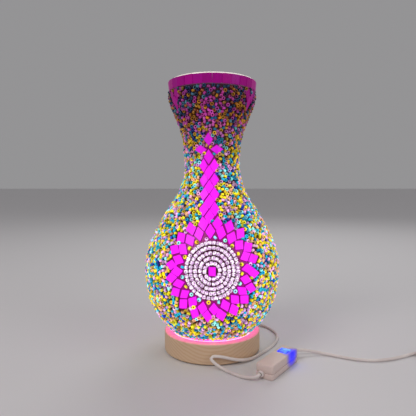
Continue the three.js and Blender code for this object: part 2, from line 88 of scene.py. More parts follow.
def make_lights():
    target = (0, 0, 0.12)
    area_light("key_light", (-0.9, -1.0, 1.3), target, 0.9, 9.0, (1.0, 0.97, 0.94))
    area_light("fill_light", (1.2, -0.8, 0.8), target, 1.0, 4.0, (0.95, 0.96, 1.0))
    area_light("rear_light", (0.3, 1.0, 1.1), target, 0.8, 4.0)
    world = bpy.data.worlds.new("studio")
    world.use_nodes = True
    background = world.node_tree.nodes["Background"]
    background.inputs["Color"].default_value = (0.93, 0.92, 0.94, 1)
    background.inputs["Strength"].default_value = 0.32
    bpy.context.scene.world = world
    bpy.context.scene.view_settings.view_transform = "Standard"


# ------------------------------------------------------------------ materials
def linear(red, green, blue):
    """A colour given on the screen's 0 to 255 scale, as linear light."""
    def one(value):
        value /= 255
        return value / 12.92 if value <= 0.04045 else ((value + 0.055) / 1.055) ** 2.4
    return one(red), one(green), one(blue)


BODY_SHARE = 0.28                 # how much of its colour lit glass shows by the light that falls on it


class Shader:
    """One Principled material under construction."""

    def __init__(self, name, **sockets):
        self.material = bpy.data.materials.new(name)
        self.material.use_nodes = True
        self.tree = self.material.node_tree
        self.surface = self.tree.nodes["Principled BSDF"]
        for socket, value in sockets.items():
            if isinstance(value, tuple) and len(value) == 3:
                value = (*value, 1)
            self.surface.inputs[socket.replace("_", " ")].default_value = value

    def node(self, kind, inputs=None, **settings):
        made = self.tree.nodes.new(kind)
        for key, value in settings.items():
            setattr(made, key, value)
        for key, value in (inputs or {}).items():
            if hasattr(value, "is_output"):
                self.tree.links.new(value, made.inputs[key])
            else:
                made.inputs[key].default_value = value
        return made

    def plug(self, output, socket):
        self.tree.links.new(output, self.surface.inputs[socket])

    def place(self, kind="POINT", **mapping):
        """The place in the frame, mapped by Location, Rotation and Scale."""
        inputs = {"Vector": self.node("ShaderNodeTexCoord").outputs["Object"], **mapping}
        return self.node("ShaderNodeMapping", inputs, vector_type=kind).outputs["Vector"]

    def noise(self, scale, stretch=(1, 1, 1), detail=3.0, roughness=0.5):
        return self.node("ShaderNodeTexNoise", {
            "Vector": self.place(Scale=stretch), "Scale": scale, "Detail": detail, "Roughness": roughness,
        }).outputs["Fac"]

    def spread(self, value, low, high):
        """Maps a 0 to 1 value on to low to high."""
        inputs = {"Value": value, "To Min": low, "To Max": high}
        return self.node("ShaderNodeMapRange", inputs).outputs["Result"]

    def times(self, a, b):
        return self.node("ShaderNodeMath", {0: a, 1: b}, operation="MULTIPLY").outputs["Value"]

    def dimmed(self, color, share):
        inputs = {0: color, "Scale": share}
        return self.node("ShaderNodeVectorMath", inputs, operation="SCALE").outputs["Vector"]

    def colour(self, value, *stops):
        """Colours the surface by a value, through a ramp of (position, colour)."""
        made = self.node("ShaderNodeValToRGB", {"Fac": value})
        elements = made.color_ramp.elements
        while len(elements) < len(stops):
            elements.new(0.5)
        for element, (position, color) in zip(elements, stops):
            element.position = position
            element.color = (*color, 1)
        self.plug(made.outputs["Color"], "Base Color")
        return made.outputs["Color"]

    def lit(self, shade, strength, casts=False):
        """Makes the surface shine with its own colour, and light up its surroundings if it casts."""
        self.plug(shade, "Emission Color")
        self.plug(strength, "Emission Strength")
        if not casts:
            self.material.cycles.emission_sampling = "NONE"

    def nearness(self, middle, size, turn=0.0):
        """1 at a place in the frame, falling to 0 over an ellipsoid of this size, turned about Z."""
        local = self.place("TEXTURE", Location=middle, Rotation=(0, 0, math.radians(turn)), Scale=size)
        return self.node("ShaderNodeTexGradient", {"Vector": local}, gradient_type="SPHERICAL").outputs["Fac"]

    def rough(self, pattern, low, high):
        self.plug(self.spread(pattern, low, high), "Roughness")

    def bump(self, height, distance, strength=1.0):
        inputs = {"Height": height, "Distance": distance, "Strength": strength}
        self.plug(self.node("ShaderNodeBump", inputs).outputs["Normal"], "Normal")

    def attribute(self, name):
        return self.node("ShaderNodeAttribute", attribute_name=name).outputs


def glowing_glass(name, roughness=0.14, streaks=None, gain=1.0, shine=0.5):
    """Lit coloured glass. Its colour is the mesh's tint attribute and its light the mesh's glow attribute."""
    shader = Shader(name, Roughness=roughness, IOR=1.5, Specular_IOR_Level=shine)
    tint = shader.attribute("tint")["Color"]
    glow = shader.times(shader.attribute("glow")["Fac"], gain)
    if streaks:
        scale, stretch, low, high = streaks
        pattern = shader.noise(scale, stretch, detail=2.0)
        glow = shader.times(glow, shader.spread(pattern, low, high))
        shader.bump(pattern, 0.0004, 0.35)
    else:
        shader.bump(shader.noise(900), 0.0001, 0.3)
    shader.plug(shader.dimmed(tint, BODY_SHARE), "Base Color")
    shader.lit(tint, glow)
    return shader.material


def moulded_plastic(name, color, roughness=0.4):
    shader = Shader(name, Roughness=roughness)
    dark = tuple(0.9 * c for c in color)
    shader.colour(shader.noise(60), (0.3, dark), (0.7, color))
    shader.rough(shader.noise(2500), roughness - 0.06, roughness + 0.08)
    shader.bump(shader.noise(4000), 0.00004, 0.5)
    return shader.material


# ------------------------------------------------------------------ mesh helpers
def mesh_of(vertices, faces):
    mesh = bpy.data.meshes.new("shape")
    mesh.from_pydata([tuple(v) for v in vertices], [], [tuple(f) for f in faces])
    return mesh


def piece(name, shape, material, body, slot, *nodes, smooth=True, sharp=35):
    """A visible piece on a body, in place of CAD nodes. Its shape is a mesh, or vertices and faces.

    Its shading is rounded, except over edges of more than `sharp` degrees.
    """
    mesh = mesh_of(*shape) if isinstance(shape, tuple) else shape
    mesh.validate()
    mesh.materials.append(material)
    mesh.polygons.foreach_set("use_smooth", np.full(len(mesh.polygons), smooth))
    if sharp:
        mesh.set_sharp_from_angle(angle=math.radians(sharp))
    mesh.update()
    made = linked(name, mesh)
    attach(made, body)
    if nodes:
        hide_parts(*nodes)
    return made


def set_values(mesh, name, values):
    """Stores one number, or one colour, per vertex."""
    values = np.asarray(values, np.float32)
    if values.ndim == 1:
        mesh.attributes.new(name, "FLOAT", "POINT").data.foreach_set("value", values)
        return
    color = np.ones((len(values), 4), np.float32)
    color[:, :3] = values
    mesh.attributes.new(name, "FLOAT_COLOR", "POINT").data.foreach_set("color", color.ravel())


def walls(rows, count, wrap=False):
    """Quads between closed rows of `count` points, and from the last row to the first if wrapped."""
    faces = []
    for row in range(rows if wrap else rows - 1):
        a, b = row * count, (row + 1) % rows * count
        faces += [(a + i, a + (i + 1) % count, b + (i + 1) % count, b + i) for i in range(count)]
    return faces


AXIS = 1e-5                       # radius of a turned solid's ends, closed by a fan


def hoop(loops):
    """Vertices and faces of a skin through equal loops, the last joined to the first."""
    return [tuple(p) for loop in loops for p in loop], walls(len(loops), len(loops[0]), wrap=True)


def bridge(loops):
    """Vertices and faces of a skin through equal loops, with each end filled by a fan."""
    rows, count = len(loops), len(loops[0])
    vertices = [tuple(p) for loop in loops for p in loop]
    faces = walls(rows, count)
    for row, step in ((0, -1), (rows - 1, 1)):
        start, centre = row * count, len(vertices)
        vertices.append(tuple(np.mean(np.array(loops[row]), axis=0)))
        faces += [(start + i, start + (i + step) % count, centre) for i in range(count)]
    return vertices, faces


def turned_loops(profile, segments):
    angles = np.arange(segments) * TAU / segments
    return [[(r * math.cos(a), r * math.sin(a), z) for a in angles] for r, z in profile]


def lathe(profile, segments):
    """A turned skin from (radius, height) pairs that run anticlockwise all round its section."""
    return hoop(turned_loops(profile, segments))


def solid_lathe(profile, segments):
    """A turned solid whose profile starts and ends near the axis, with a fan over each end."""
    return bridge(turned_loops(profile, segments))


def flipped(vertices, faces):
    return vertices, [face[::-1] for face in faces]


def rounded(width, depth, radius, inset=0.0, corner=6):
    """A rounded rectangle, drawn in by `inset`, as an anticlockwise loop of (x, y)."""
    points = []
    for index, (sx, sy) in enumerate(((1, -1), (1, 1), (-1, 1), (-1, -1))):
        for step in range(corner + 1):
            angle = (index - 1 + step / corner) * math.pi / 2
            reach = max(radius - inset, 1e-4)
            x = sx * (width / 2 - radius) + reach * math.cos(angle)
            y = sy * (depth / 2 - radius) + reach * math.sin(angle)
            points.append((x, y))
    return points


def stack(width, depth, radius, levels):
    """A solid through rounded rectangles, one for each (height, inset) of its levels."""
    return bridge([[(x, y, z) for x, y in rounded(width, depth, radius, inset)] for z, inset in levels])


def shift(x=0.0, y=0.0, z=0.0):
    return Matrix.Translation((x, y, z))


def turned(axis, degrees=90.0):
    return Matrix.Rotation(math.radians(degrees), 4, axis)


def placed(shape, matrix):
    vertices, faces = shape
    return [matrix @ Vector(v) for v in vertices], faces


# ------------------------------------------------------------------ cords
CORD_RADIUS = 0.0015
BASE, VASE, BUTTON = "base", "vase", "button"   # the moving bodies


def route(*millimetres):
    return np.array(millimetres) / 1000


CORD_TO_SWITCH = route(
    (27.8, 52.3, 10.0), (30.6, 57.6, 9.6), (35.2, 63.4, 8.0), (42.0, 67.6, 5.6), (50.5, 68.4, 3.4),
    (59.0, 65.6, 2.0), (66.0, 58.6, 1.6), (70.6, 48.4, 1.5), (73.6, 37.0, 1.5), (73.4, 26.0, 1.5),
    (70.2, 13.4, 1.5), (65.6, 2.6, 1.5), (60.4, -6.4, 1.5), (55.0, -14.2, 1.5), (49.4, -21.6, 1.5),
    (43.9, -29.0, 1.5), (37.8, -36.6, 2.1), (31.8, -41.9, 3.2), (25.7, -45.9, 4.7), (18.0, -49.4, 7.2),
    (11.7, -51.3, 9.4), (4.8, -52.5, 10.8), (0.6, -53.2, 10.9), (-1.1, -54.0, 9.4), (0.8, -55.0, 6.9),
    (4.8, -56.6, 4.1), (10.9, -60.4, 1.8), (17.4, -67.0, 1.5), (23.8, -72.8, 1.5), (30.4, -77.6, 2.0),
    (36.8, -80.4, 3.3), (40.2, -79.4, 4.3), (42.0, -77.4, 4.6),
)
CORD_TO_COIL = route(
    (79.9, -30.6, 6.2), (82.2, -27.6, 6.2), (86.4, -24.4, 6.0), (93.0, -22.6, 5.2), (101.0, -22.0, 3.8),
    (109.4, -22.6, 2.4), (117.8, -25.2, 1.7), (127.6, -30.4, 1.5), (138.4, -35.8, 1.5), (150.0, -38.9, 1.5),
    (163.0, -39.0, 1.5), (176.0, -35.8, 1.5), (189.0, -30.2, 1.5), (201.0, -24.2, 1.7), (212.2, -20.8, 2.4),
)
CORD_TO_PLUG = route(
    (236.8, -13.6, 5.4), (243.6, -14.4, 5.0), (250.4, -18.2, 4.3), (255.4, -24.8, 4.0), (257.8, -32.6, 4.0),
    (258.2, -37.4, 4.0),
)
COIL_TURNS_A_LAYER = 4
COIL_START = math.radians(105)    # where the lead comes on to the coil
COIL_STEPS = 24                   # points in each turn
COIL_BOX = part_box("cord_coil")
COIL_MIDDLE = (COIL_BOX[0] + COIL_BOX[1]) / 2


def smooth_step(value):
    value = min(1.0, max(0.0, value))
    return value * value * (3 - 2 * value)


def coil_points():
    """Two layers of turns wound clockwise: inwards on the floor, then outwards on top of them."""
    outer = (COIL_BOX[1].x - COIL_BOX[0].x) / 2 - CORD_RADIUS
    floor = COIL_BOX[0].z + CORD_RADIUS
    pitch = 2 * CORD_RADIUS
    lanes = list(range(COIL_TURNS_A_LAYER)) + list(range(COIL_TURNS_A_LAYER - 1, -1, -1))
    points = []
    for index, lane in enumerate(lanes):
        layer = index // COIL_TURNS_A_LAYER
        after = lanes[index + 1] if index + 1 < len(lanes) else lane
        climb = 1 if index + 1 == COIL_TURNS_A_LAYER else 0
        for step in range(COIL_STEPS):
            share = step / COIL_STEPS
            angle = COIL_START - TAU * share
            radius = outer - pitch * (lane + (after - lane) * smooth_step((share - 0.875) / 0.125))
            height = floor + pitch * (layer + climb * smooth_step((share - 0.72) / 0.145))
            points.append((COIL_MIDDLE.x + radius * math.cos(angle), COIL_MIDDLE.y + radius * math.sin(angle),
                           height))
    return np.array(points)


def through(points, spacing=0.002):
    """Points close together on a centripetal Catmull-Rom curve through the given ones."""
    padded = np.vstack([2 * points[0] - points[1], points, 2 * points[-1] - points[-2]])
    made = [points[0]]
    for k in range(1, len(padded) - 2):
        p0, p1, p2, p3 = padded[k - 1:k + 3]
        t1 = max(1e-6, np.linalg.norm(p1 - p0)) ** 0.5
        t2 = t1 + max(1e-6, np.linalg.norm(p2 - p1)) ** 0.5
        t3 = t2 + max(1e-6, np.linalg.norm(p3 - p2)) ** 0.5
        steps = max(1, round(np.linalg.norm(p2 - p1) / spacing))
        for step in range(1, steps + 1):
            t = t1 + (t2 - t1) * step / steps
            a1 = p0 + (p1 - p0) * t / t1
            a2 = p1 + (p2 - p1) * (t - t1) / (t2 - t1)
            a3 = p2 + (p3 - p2) * (t - t2) / (t3 - t2)
            b1 = a1 + (a2 - a1) * t / t2
            b2 = a2 + (a3 - a2) * (t - t1) / (t3 - t1)
            made.append(b1 + (b2 - b1) * (t - t1) / (t2 - t1))
    return np.array(made)


def cord_material():
    shader = Shader("cord_sheath", Roughness=0.42)
    stain = shader.noise(45, detail=4.0)
    shader.colour(stain, (0.3, linear(214, 200, 196)), (0.7, linear(238, 229, 224)))
    shader.rough(shader.noise(700), 0.32, 0.5)
    shader.bump(shader.noise(1500, detail=2.0), 0.00006, 0.5)
    return shader.material


SHEATH = cord_material()


def cord_piece(name, points):
    curve = bpy.data.curves.new(name, "CURVE")
    curve.dimensions = "3D"
    curve.bevel_depth = CORD_RADIUS
    curve.bevel_resolution = 4
    curve.use_fill_caps = True
    spline = curve.splines.new("POLY")
    spline.points.add(len(points) - 1)
    spline.points.foreach_set("co", np.hstack([points, np.ones((len(points), 1))]).ravel())
    spline.use_smooth = True
    curve.materials.append(SHEATH)
    cord = linked(name, curve)
    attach(cord, BASE)
    return cord


make_camera()
make_lights()
near_path = through(CORD_TO_SWITCH)
far_path = through(np.vstack([CORD_TO_COIL, coil_points(), CORD_TO_PLUG]))
near_cord = cord_piece("lead_to_switch", near_path)
far_cord = cord_piece("lead_to_plug", far_path)
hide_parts("cord_to_switch")
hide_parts("cord_to_coil", "cord_coil", "cord_to_plug")


# ------------------------------------------------------------------ the vase's shape
FACE_OUT = 0.0023                 # the tiles' faces, out from the glass: layout widths are measured on them


def outer_wall():
    """(height, radius) of each ring of the glass's outer wall, read off the CAD body."""
    mesh = NODES["glass_vase"].data
    rings = {}
    for face in mesh.polygons:
        radial = Vector((face.center.x, face.center.y, 0)).normalized()
        if face.normal.dot(radial) > 0.3:
            for index in face.vertices:
                point = mesh.vertices[index].co
                rings[round(point.z, 5)] = math.hypot(point.x, point.y)
    return np.array(sorted(rings.items())).T


def smooth_wall(heights, radii, count=1600):
    """The same wall with a smooth curve through its rings."""
    slopes = np.gradient(radii, heights)
    z = np.linspace(heights[0], heights[-1], count)
    k = np.clip(np.searchsorted(heights, z) - 1, 0, len(heights) - 2)
    step = heights[k + 1] - heights[k]
    t = (z - heights[k]) / step
    rise = t * t * (3 - 2 * t)
    bend = step * t * (1 - t) * ((1 - t) * slopes[k] - t * slopes[k + 1])
    return z, radii[k] * (1 - rise) + radii[k + 1] * rise + bend


WALL_Z, WALL_R = smooth_wall(*outer_wall())
WALL_SLOPE = np.gradient(WALL_R, WALL_Z)
GLASS_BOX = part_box("glass_vase")
GLASS_TOP = GLASS_BOX[1].z
GLASS_FOOT = GLASS_BOX[0].z


def on_vase(x, z, out=0.0, turn=0.0):
    """Places on the vase, and the directions to the right, up the wall and outwards there."""
    x, z, out, turn = np.broadcast_arrays(*(np.asarray(v, float) for v in (x, z, out, turn)))
    radius = np.interp(z, WALL_Z, WALL_R)
    slope = np.interp(z, WALL_Z, WALL_SLOPE)
    run = np.sqrt(1 + slope ** 2)
    angle = turn + x / (radius + FACE_OUT)
    sin, cos = np.sin(angle), np.cos(angle)
    right = np.stack([cos, sin, 0 * z], -1)
    up = np.stack([slope * sin / run, -slope * cos / run, 1 / run], -1)
    outward = np.stack([sin / run, -cos / run, -slope / run], -1)
    place = np.stack([radius * sin, -radius * cos, z], -1) + out[..., None] * outward
    return place, right, up, outward


# ------------------------------------------------------------------ glass vase and its adhesive bed
GLASS_WALL = 0.003
FLOOR_INSIDE = 0.0265             # top of the closed glass bottom


def vase_profile():
    """(radius, height) of the glass's section, from the middle of its foot to the middle of its floor."""
    z = np.linspace(GLASS_FOOT + 0.004, GLASS_TOP - 0.0008, 96)
    radius, slope = np.interp(z, WALL_Z, WALL_R), np.interp(z, WALL_Z, WALL_SLOPE)
    run = np.sqrt(1 + slope ** 2)
    outer = list(zip(radius, z))
    inner = list(zip(radius - GLASS_WALL / run, z + GLASS_WALL * slope / run))
    inner = [(r, h) for r, h in inner if FLOOR_INSIDE + 0.003 < h < GLASS_TOP - 0.0008]
    foot = [(0.0004, GLASS_FOOT + 0.0012), (0.028, GLASS_FOOT + 0.0012), (0.032, GLASS_FOOT + 0.0006),
            (0.0335, GLASS_FOOT), (0.0382, GLASS_FOOT), (0.0392, GLASS_FOOT + 0.0008)]
    lip_out, lip_in = outer[-1][0], inner[-1][0]
    lip = [(lip_out - 0.0002, GLASS_TOP - 0.0003), (lip_out - 0.0009, GLASS_TOP),
           (lip_in + 0.0009, GLASS_TOP), (lip_in + 0.0002, GLASS_TOP - 0.0003)]
    floor = [(inner[0][0] - 0.002, FLOOR_INSIDE + 0.0008), (inner[0][0] - 0.005, FLOOR_INSIDE),
             (0.0004, FLOOR_INSIDE)]
    return foot + outer + lip + inner[::-1] + floor


def glass_material():
    shader = Shader("vase_glass", Roughness=0.2, IOR=1.5)
    # Painted light: the glass glows in patches all over, lit by the lamp below, and turns pink at its foot
    # over the lit window.
    cloud = shader.noise(30, detail=4.0)
    height = shader.node("ShaderNodeSeparateXYZ", {"Vector": shader.place()}).outputs["Z"]
    shade = shader.colour(height, (0.024, linear(255, 90, 215)), (0.034, linear(245, 215, 225)),
                          (0.26, linear(240, 222, 224)), (0.276, linear(255, 246, 236)))
    shader.lit(shade, shader.spread(cloud, 0.25, 0.4))
    shader.rough(shader.noise(120), 0.12, 0.28)
    return shader.material


piece("vase", solid_lathe(vase_profile(), 160), glass_material(), VASE, "vase_glass", "glass_vase",
      sharp=None)

MOSAIC_FOOT = 0.0228
MOSAIC_TOP = 0.2762
BED_THICK = 0.0008
GROUT_Z = (0.2662, 0.2672)        # the bed turns from adhesive to the rim band's pale grout here
random = np.random.default_rng(7)


# How brightly the mosaic is lit from inside, (height, level): most on the belly, least by the mouth.
LIGHT_LEVELS = ((0.03, 0.85), (0.06, 1.0), (0.11, 1.0), (0.15, 0.95), (0.185, 0.85), (0.22, 0.48),
                (0.26, 0.22), (0.277, 0.27))


def light_at(z):
    return np.interp(z, *zip(*LIGHT_LEVELS))


# ------------------------------------------------------------------ cut glass tiles
MEDALLION_Z = 0.0944
PETALS = 20
MAGENTA = linear(255, 32, 255)
DEEP_MAGENTA = linear(205, 0, 165)
MAGENTA_GLASS = glowing_glass("magenta_glass", 0.32, (260, (1, 1, 0.35), 0.72, 1.3), shine=0.2)
TILE_TOP = 0.0023
CENTRE_TOP = 0.0031               # the middle tile stands proud of the strung beads round it
all_tiles = []                    # every tile's place, directions and outline: the loose beads keep off them
DARK_EDGE = (0.1, 0.12, 0.25, 0.7, 1.0, 1.05)     # light at each loop of a tile, from its back to its face
PALE_EDGE = (0.3, 0.6, 0.9, 1.0, 1.0, 1.0)


def tile(outline, turn, tilt=2.5, top=TILE_TOP, spread=0.0003, tint=MAGENTA, edges=DARK_EDGE):
    """One flat hand-cut tile from its outline of layout (x, z). Gives its vertices, faces, tint and glow."""
    outline = np.array(outline, float)
    outline += random.normal(0, spread / 2, outline.shape)
    x, z = outline.mean(axis=0)
    place, right, up, outward = on_vase(x, z, 0.0, turn)
    run = 1 / up[2]
    local = (outline - (x, z)) * (1, run)
    all_tiles.append((place, right, up, local))
    size = np.abs(local).max()
    slant = np.tan(np.radians(random.normal(0, tilt / 2, 2)))
    top = top + random.normal(0, 0.00012)
    points = []
    for k in range(len(local)):
        following = local[(k + 1) % len(local)]
        for share in (0.06, 0.28, 0.5, 0.72, 0.94):
            points.append(local[k] + (following - local[k]) * share)
    points = np.array(points)
    points += random.normal(0, 0.00006, points.shape)
    loops = []
    for scale, lift in ((0.97, 0.0003 - top), (1.0, -0.0008), (1.0, -0.0002), (1 - 0.0002 / size, -0.00003),
                        (1 - 0.0008 / size, 0.0), (0.4, 0.00003)):
        flat = points * scale
        rise = (top + lift + (flat @ slant if lift > -0.0005 else 0) * np.ones(len(flat)))
        loops.append(place + flat[:, :1] * right + flat[:, 1:] * up + rise[:, None] * outward)
    vertices, faces = bridge(loops)
    vertices = np.array(vertices)
    glow = np.full(len(vertices), light_at(place[2]) * random.uniform(0.86, 1.1))
    glow *= np.concatenate([*(np.full(len(points), level) for level in edges), (edges[0], edges[-1])])
    shade = np.array(tint) * random.uniform(0.93, 1.05, 3)
    return vertices, faces, np.tile(np.clip(shade, 0, 1), (len(vertices), 1)), glow


def join(parts):
    """One list of vertices, faces, tints and glows from several."""
    offset, vertices, faces, tints, glows = 0, [], [], [], []
    for points, sides, tint, glow in parts:
        vertices.append(points)
        faces.extend([tuple(i + offset for i in side) for side in sides])
        tints.append(tint)
        glows.append(glow)
        offset += len(points)
    return np.concatenate(vertices), faces, np.concatenate(tints), np.concatenate(glows)


def tile_piece(name, parts, *nodes):
    vertices, faces, tints, glows = join(parts)
    mesh = mesh_of(vertices, faces)
    set_values(mesh, "tint", tints)
    set_values(mesh, "glow", glows)
    piece(name, mesh, MAGENTA_GLASS, VASE, "magenta_glass", *nodes, smooth=False, sharp=None)


def polar(radius, degrees):
    angle = math.radians(degrees)
    return radius * math.sin(angle), MEDALLION_Z + radius * math.cos(angle)


def petal(radius, degrees, length, width):
    """A diamond pointing away from the medallion's middle, set by hand: a little turned and out of place."""
    x, z = polar(radius + random.normal(0, 0.0004), degrees + random.normal(0, 0.6))
    lean = math.radians(degrees + random.normal(0, 3))
    length, width = length * random.uniform(0.95, 1.02), width * random.uniform(0.94, 1.02)
    lopsided = random.normal(0, 0.0006)
    corners = ((-length / 2, 0), (lopsided, width / 2), (length / 2, 0), (-lopsided, -width / 2))
    return [(x + along * math.sin(lean) + across * math.cos(lean),
             z + along * math.cos(lean) - across * math.sin(lean)) for along, across in corners]


STEP = 360 / PETALS
PHASE = -3.0                      # the first petal stands this far round from the top, in degrees
INNER_PETAL = (0.0338, 0.0138, 0.0101)    # middle's radius, length, width
OUTER_PETAL = (0.0413, 0.0142, 0.0104)
# Each diamond of a neck column: middle x and z, width and height, in millimetres.
COLUMN_TILES = (
    (-2.7, 141.4, 9.7, 14.1), (-7.9, 148.0, 9.3, 14.1), (2.6, 148.0, 9.5, 14.1), (-2.7, 155.2, 9.9, 14.3),
    (-8.2, 162.2, 9.5, 14.1), (2.4, 162.2, 9.5, 14.1), (-2.9, 169.4, 9.7, 14.1), (-8.4, 176.2, 9.3, 14.3),
    (2.2, 176.4, 9.3, 14.1), (-3.3, 184.0, 9.7, 14.9), (-8.8, 191.0, 9.3, 14.3), (1.9, 191.0, 9.3, 14.1),
    (-3.6, 199.6, 9.9, 15.1), (-11.7, 206.6, 13.2, 9.3), (4.6, 206.9, 13.0, 9.3), (-3.7, 216.6, 9.5, 13.5),
)
# Pendants hanging from the rim band, pointing down: x, top z, width, height.
PENDANT_TILES = ((-4.7, 265.4, 8.2, 13.0), (4.5, 265.6, 8.4, 13.6), (0.0, 259.4, 8.8, 15.4))
PENDANT_TURNS = (60, 180, 300)
CENTRE_TILE = (0.00335, 0.00410)          # half its width and height
RIM_TILES = 30
RIM_RADIUS = 0.0452
RIM_TILE_Z = (0.267, 0.2760)


def diamond(x, z, width, height):
    x, z, width, height = (v / 1000 for v in (x, z, width, height))
    return [(x, z - height / 2), (x + width / 2, z), (x, z + height / 2), (x - width / 2, z)]


def pendant(x, top, width, height):
    x, top, width, height = (v / 1000 for v in (x, top, width, height))
    return [(x, top - height), (x + width / 2, top - height * 0.35), (x + width * 0.28, top),
            (x - width * 0.28, top), (x - width / 2, top - height * 0.35)]


def rectangle(half_width, low, high):
    return [(-half_width, low), (half_width, low), (half_width, high), (-half_width, high)]


def petal_ring(shape, phase, turn):
    radius, length, width = shape
    return [tile(petal(radius, phase + k * STEP, length, width), turn) for k in range(PETALS)]


def lay_tiles():
    for side in SIDES:
        turn = TURNS[side]
        half_width, half_height = CENTRE_TILE
        centre = rectangle(half_width, MEDALLION_Z - half_height, MEDALLION_Z + half_height)
        tile_piece(f"centre_{side}", [tile(centre, turn, tilt=1.0, top=CENTRE_TOP)], f"centre_tile_{side}")
        tile_piece(f"petals_inner_{side}", petal_ring(INNER_PETAL, PHASE, turn), f"inner_petals_{side}")
        tile_piece(f"petals_outer_{side}", petal_ring(OUTER_PETAL, PHASE + STEP / 2, turn),
                   f"outer_petals_{side}")
        column = [tile(diamond(*shape), turn, tilt=4) for shape in COLUMN_TILES]
        tile_piece(f"column_{side}", column, f"neck_column_{side}")
    for number, degrees in enumerate(PENDANT_TURNS, 1):
        parts = [tile(pendant(*shape), math.radians(degrees), tint=DEEP_MAGENTA) for shape in PENDANT_TILES]
        tile_piece(f"pendant_{number}", parts, f"rim_pendant_{number}")
    upright = rectangle(math.pi / RIM_TILES * RIM_RADIUS - 0.0002, *RIM_TILE_Z)
    turns = [TAU * (k + 0.5) / RIM_TILES for k in range(RIM_TILES)]
    tile_piece("rim_tiles", [tile(upright, turn, tilt=1.0, spread=0.0002, tint=DEEP_MAGENTA, edges=PALE_EDGE)
                             for turn in turns], "rim_tile_band")


lay_tiles()


# ------------------------------------------------------------------ glass beads
def bead_shape(outer, hole, height, around, across=8):
    """A drilled glass bead about Z: its vertices, its quads and how much light each vertex gives."""
    middle, half = (outer + hole) / 4, (outer - hole) / 4
    vertices, light = [], []
    for i in range(around):
        angle = TAU * i / around
        for k in range(across):
            turn = TAU * k / across
            sx, sz = math.cos(turn), math.sin(turn)
            radius = middle + half * math.copysign(abs(sx) ** 0.75, sx)
            z = height / 2 * math.copysign(abs(sz) ** 0.75, sz)
            vertices.append((radius * math.cos(angle), radius * math.sin(angle), z))
            # Painted shade: dimmest on the hole's wall, then at the hole's edges, and the outer wall a little
            # below the faces.
            light.append(0.2 if sx < -0.9 else 0.6 if sx < -0.5 else 0.85 if sx > 0.9 else 1.0)
    quads = [(a, d, c, b) for a, b, c, d in walls(around, across, wrap=True)]
    return np.array(vertices), np.array(quads), np.array(light)


def axes(normal, reference, lean, spin):
    """Rotation matrices whose Z leans off `normal` by `lean` radians towards the direction `spin`."""
    other = np.cross(normal, reference)
    sideways = np.cos(spin)[:, None] * reference + np.sin(spin)[:, None] * other
    z = np.cos(lean)[:, None] * normal + np.sin(lean)[:, None] * sideways
    x = np.cross(other, z)
    x /= np.linalg.norm(x, axis=1)[:, None]
    return np.stack([x, np.cross(z, x), z], -1)


def bead_piece(name, shape, rotations, places, outward, sizes, tints, glows, material, slot, *nodes):
    """Many beads as one piece. Each is lit most where it stands highest and dark down by the adhesive."""
    vertices, quads, light = shape
    count, corners = len(places), len(vertices)
    offsets = np.einsum("nij,vj->nvi", rotations, vertices) * sizes[:, None, None]
    world = offsets + places[:, None, :]
    rise = np.einsum("nvi,ni->nv", offsets, outward)
    share = (rise - rise.min(axis=1)[:, None]) / np.ptp(rise, axis=1)[:, None]
    lit = 0.1 + 1.25 * np.clip(share * 1.2 - 0.2, 0, 1) ** 2.2
    sides = (quads[None] + np.arange(count)[:, None, None] * corners).reshape(-1)
    mesh = bpy.data.meshes.new(name)
    mesh.vertices.add(count * corners)
    mesh.vertices.foreach_set("co", world.astype(np.float32).ravel())
    mesh.loops.add(len(sides))
    mesh.loops.foreach_set("vertex_index", sides.astype(np.int32))
    mesh.polygons.add(len(sides) // 4)
    mesh.polygons.foreach_set("loop_start", np.arange(0, len(sides), 4, dtype=np.int32))
    mesh.update(calc_edges=True)
    set_values(mesh, "tint", np.repeat(tints, corners, axis=0))
    set_values(mesh, "glow", (glows[:, None] * light[None] * lit).ravel())
    piece(name, mesh, material, VASE, slot, *nodes, sharp=None)


# strung beads of the medallion discs
STRING_FIRST = 0.0069             # radius of the innermost ring
STRING_PITCH = 0.0043             # from ring to ring
STRING_RINGS = 5
STRING_LIFT = 0.0022              # the string's height above the glass
STRING_SPACING = 0.0037           # along the string
STRUNG_BEAD = bead_shape(0.0038, 0.0010, 0.0034, 12, 8)


def silver_material():
    shader = Shader("silver_beads", Roughness=0.12, Specular_IOR_Level=0.8)
    # Lilac and white specks are the beads' own colour; the beads glow by the glow attribute, and the whiter
    # specks glow brightest: painted sparkle of the silver lining.
    speck = shader.noise(650, detail=1.0, roughness=0.4)
    shade = shader.colour(speck, (0.34, linear(176, 128, 172)), (0.45, linear(212, 172, 224)),
                          (0.54, linear(232, 212, 234)), (0.64, linear(255, 253, 248)))
    shader.lit(shade, shader.times(shader.attribute("glow")["Fac"], shader.spread(speck, 0.45, 1.05)))
    return shader.material


SILVER = silver_material()


def bead_disc(side):
    x, z, along = [], [], []
    for ring in range(STRING_RINGS):
        radius = STRING_FIRST + ring * STRING_PITCH
        count = round(TAU * radius / STRING_SPACING)
        start = random.random()
        for k in range(count):
            angle = TAU * (k + start + random.normal(0, 0.05)) / count
            x.append(radius * math.sin(angle))
            z.append(MEDALLION_Z + radius * math.cos(angle))
            along.append(angle)
    count = len(x)
    lift = STRING_LIFT + random.normal(0, 0.00012, count)
    place, right, up, outward = on_vase(x, z, lift, TURNS[side])
    along = np.array(along)
    string = np.cos(along)[:, None] * right - np.sin(along)[:, None] * up
    rotations = axes(string, outward, random.normal(0, 0.12, count), random.random(count) * TAU)
    sizes = random.uniform(0.94, 1.04, count)
    glows = 0.9 * random.uniform(0.7, 1.15, count)
    bead_piece(f"strung_beads_{side}", STRUNG_BEAD, rotations, place, outward, sizes, np.ones((count, 3)),
               glows, SILVER, "silver_beads", f"bead_disc_{side}")


for side in SIDES:
    bead_disc(side)

